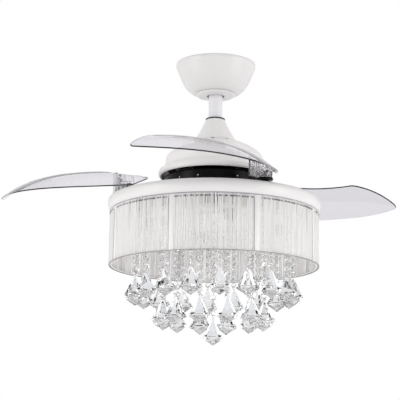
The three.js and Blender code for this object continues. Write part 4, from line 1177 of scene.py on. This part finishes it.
# ------------------------------------------------------------------ stage
class Stage(BuildStep):
    """Sets the pale floor, the soft lamps, the plain white world and the camera"""

    bl_idname = "fan.stage"
    bl_label = "Floor, Light and Camera"

    CAMERA_PLACE = (0.0, -2.4812, -0.7975)
    CAMERA_YAW, CAMERA_PITCH, CAMERA_ROLL = 0.641, 11.984, 0.762
    FOCAL_PIXELS, IMAGE_PIXELS = 1321.2, 400
    LAMPS = (
        ("left_softbox", (-2.2, -1.1, -0.25), 1.1, 1.5, 15.0),
        ("right_softbox", (2.2, -1.0, -0.25), 1.1, 1.5, 16.0),
        ("top_softbox", (0.0, 0.6, 1.3), 2.2, 2.2, 12.0),
        ("under_softbox", (0.0, 0.0, -0.9), 1.0, 1.0, 1.6),
    )
    WORLD_LEVEL = 0.62
    FLOOR_HALF, FLOOR_GLOW = 6.0, 0.62
    BY_HEIGHT = ((0.0, 0.30), (0.26, 0.6), (0.38, 1.0), (0.62, 1.0), (0.84, 0.16), (1.0, 0.7))
    BY_SIDE = ((0.0, 1.0), (0.24, 1.0), (0.33, 0.4), (0.44, 1.0), (0.53, 0.95), (0.6, 0.4), (0.67, 1.0),
               (0.85, 1.0), (1.0, 0.9))
    CARD_SCALE = 1.6
    CARDS = ((0.38, (0.93, 0.95, 0.98)), (0.46, (1.0, 1.0, 1.0)), (0.52, (1.0, 1.0, 1.0)))

    def build(self):
        self.floor()
        self.lamps()
        self.world()
        self.camera()

    def floor(self):
        """A floor that glows a little; clear faces see pale cards on it; from below it is not there."""
        bm = bmesh.new()
        bmesh.ops.create_grid(bm, x_segments=1, y_segments=1, size=self.FLOOR_HALF)
        bmesh.ops.translate(bm, vec=(0, 0, -sizes().floor_drop), verts=bm.verts)
        mesh = bpy.data.meshes.new("floor")
        bm.to_mesh(mesh)
        bm.free()
        floor = bpy.data.objects.new("floor", mesh)
        bpy.context.scene.collection.objects.link(floor)
        pale = Finish("pale_floor", (0.84, 0.84, 0.84), 0.9)
        glow = pale.node("ShaderNodeEmission", Strength=self.FLOOR_GLOW)
        plain = pale.node("ShaderNodeAddShader")
        pale.link(pale.shader.outputs[0], plain.inputs[0])
        pale.link(glow.outputs[0], plain.inputs[1])
        cards = pale.node("ShaderNodeEmission")
        pale.link(pale.ramp(pale.noise(self.CARD_SCALE, 1.0), self.CARDS), cards.inputs["Color"])
        above = pale.mixed(pale.clear_rays(), plain.outputs[0], cards.outputs[0])
        behind = pale.node("ShaderNodeNewGeometry").outputs["Backfacing"]
        sheer = pale.node("ShaderNodeBsdfTransparent").outputs[0]
        pale.show(pale.mixed(behind, above, sheer))
        mesh.materials.append(pale.material)

    def lamps(self):
        aim = Vector((0, 0, -0.25))
        for name, place, width, height, watts in self.LAMPS:
            light = bpy.data.lights.new(name, "AREA")
            light.shape = "RECTANGLE"
            light.size, light.size_y = width, height
            light.energy = watts
            lamp = bpy.data.objects.new(name, light)
            lamp.location = place
            lamp.rotation_euler = (aim - Vector(place)).to_track_quat("-Z", "Y").to_euler()
            bpy.context.scene.collection.objects.link(lamp)

    def world(self):
        """White for what is seen directly; through glass it darkens overhead and at the sides."""
        world = bpy.data.worlds.new("studio")
        bpy.context.scene.world = world
        world.use_nodes = True
        world.node_tree.nodes.clear()
        sky = Nodes(world.node_tree)
        split = sky.node("ShaderNodeSeparateXYZ")
        sky.link(sky.node("ShaderNodeTexCoord").outputs["Generated"], split.inputs[0])
        height = sky.math("MULTIPLY_ADD", split.outputs["Z"], 0.5, 0.5)
        side = sky.math("ABSOLUTE", split.outputs["X"])
        studio = sky.node("ShaderNodeMix")
        studio.data_type = "RGBA"
        studio.blend_type = "MULTIPLY"
        studio.inputs["Factor"].default_value = 1.0
        for socket, source, stops in (("A", height, self.BY_HEIGHT), ("B", side, self.BY_SIDE)):
            greys = [(position, (grey, grey, grey)) for position, grey in stops]
            sky.link(sky.ramp(source, greys, "EASE"), studio.inputs[socket])
        white = (1, 1, 1, 1)
        seen = sky.node("ShaderNodeBackground", Color=white)
        fill = sky.node("ShaderNodeBackground", Color=white, Strength=self.WORLD_LEVEL)
        through = sky.node("ShaderNodeBackground")
        sky.link(studio.outputs["Result"], through.inputs["Color"])
        lit = sky.mixed(sky.clear_rays(), fill.outputs[0], through.outputs[0])
        direct = sky.node("ShaderNodeLightPath").outputs["Is Camera Ray"]
        shown = sky.mixed(direct, lit, seen.outputs[0])
        sky.link(shown, sky.node("ShaderNodeOutputWorld").inputs["Surface"])

    def camera(self):
        camera = bpy.data.objects.new("camera", bpy.data.cameras.new("camera"))
        bpy.context.scene.collection.objects.link(camera)
        camera.data.sensor_width = 36.0
        camera.data.lens = 36.0 * self.FOCAL_PIXELS / self.IMAGE_PIXELS
        camera.rotation_mode = "QUATERNION"
        camera.location = self.CAMERA_PLACE
        turn = Matrix.Rotation(math.radians(self.CAMERA_YAW), 3, "Z") \
            @ Matrix.Rotation(math.radians(90 + self.CAMERA_PITCH), 3, "X") \
            @ Matrix.Rotation(math.radians(self.CAMERA_ROLL), 3, "Z")
        camera.rotation_quaternion = turn.to_quaternion()
        bpy.context.scene.camera = camera
        bpy.context.scene.view_settings.view_transform = "Standard"


# ------------------------------------------------------------------ panel and run
STEPS = (CeilingEnd, Downrod, Housing, BladeCarrier, Blades, LightPan, ThreadShade, CrystalPlate, Lamps,
         Crystals, Stage)


class FanPanel(bpy.types.Panel):
    """Lists the fan's building steps, sizes and colours"""

    bl_idname = "VIEW3D_PT_fan"
    bl_label = "Folding Blade Fan"
    bl_space_type = "VIEW_3D"
    bl_region_type = "UI"
    bl_category = "Fan"

    def draw(self, context):
        layout = self.layout
        for step in STEPS:
            layout.operator(step.bl_idname)
        for group in (context.scene.fan_sizes, context.scene.fan_colours):
            box = layout.box()
            for name in group.__annotations__:
                box.prop(group, name)


CLASSES = (FanSizes, FanColours, *STEPS, FanPanel)


def register():
    for item in CLASSES:
        bpy.utils.register_class(item)
    bpy.types.Scene.fan_sizes = PointerProperty(type=FanSizes)
    bpy.types.Scene.fan_colours = PointerProperty(type=FanColours)


def unregister():
    del bpy.types.Scene.fan_colours
    del bpy.types.Scene.fan_sizes
    for item in reversed(CLASSES):
        bpy.utils.unregister_class(item)


def main():
    register()
    make_materials()
    for step in STEPS:
        group, name = step.bl_idname.split(".")
        getattr(getattr(bpy.ops, group), name)()
    bpy.context.view_layer.update()


if __name__ == "__main__":
    main()
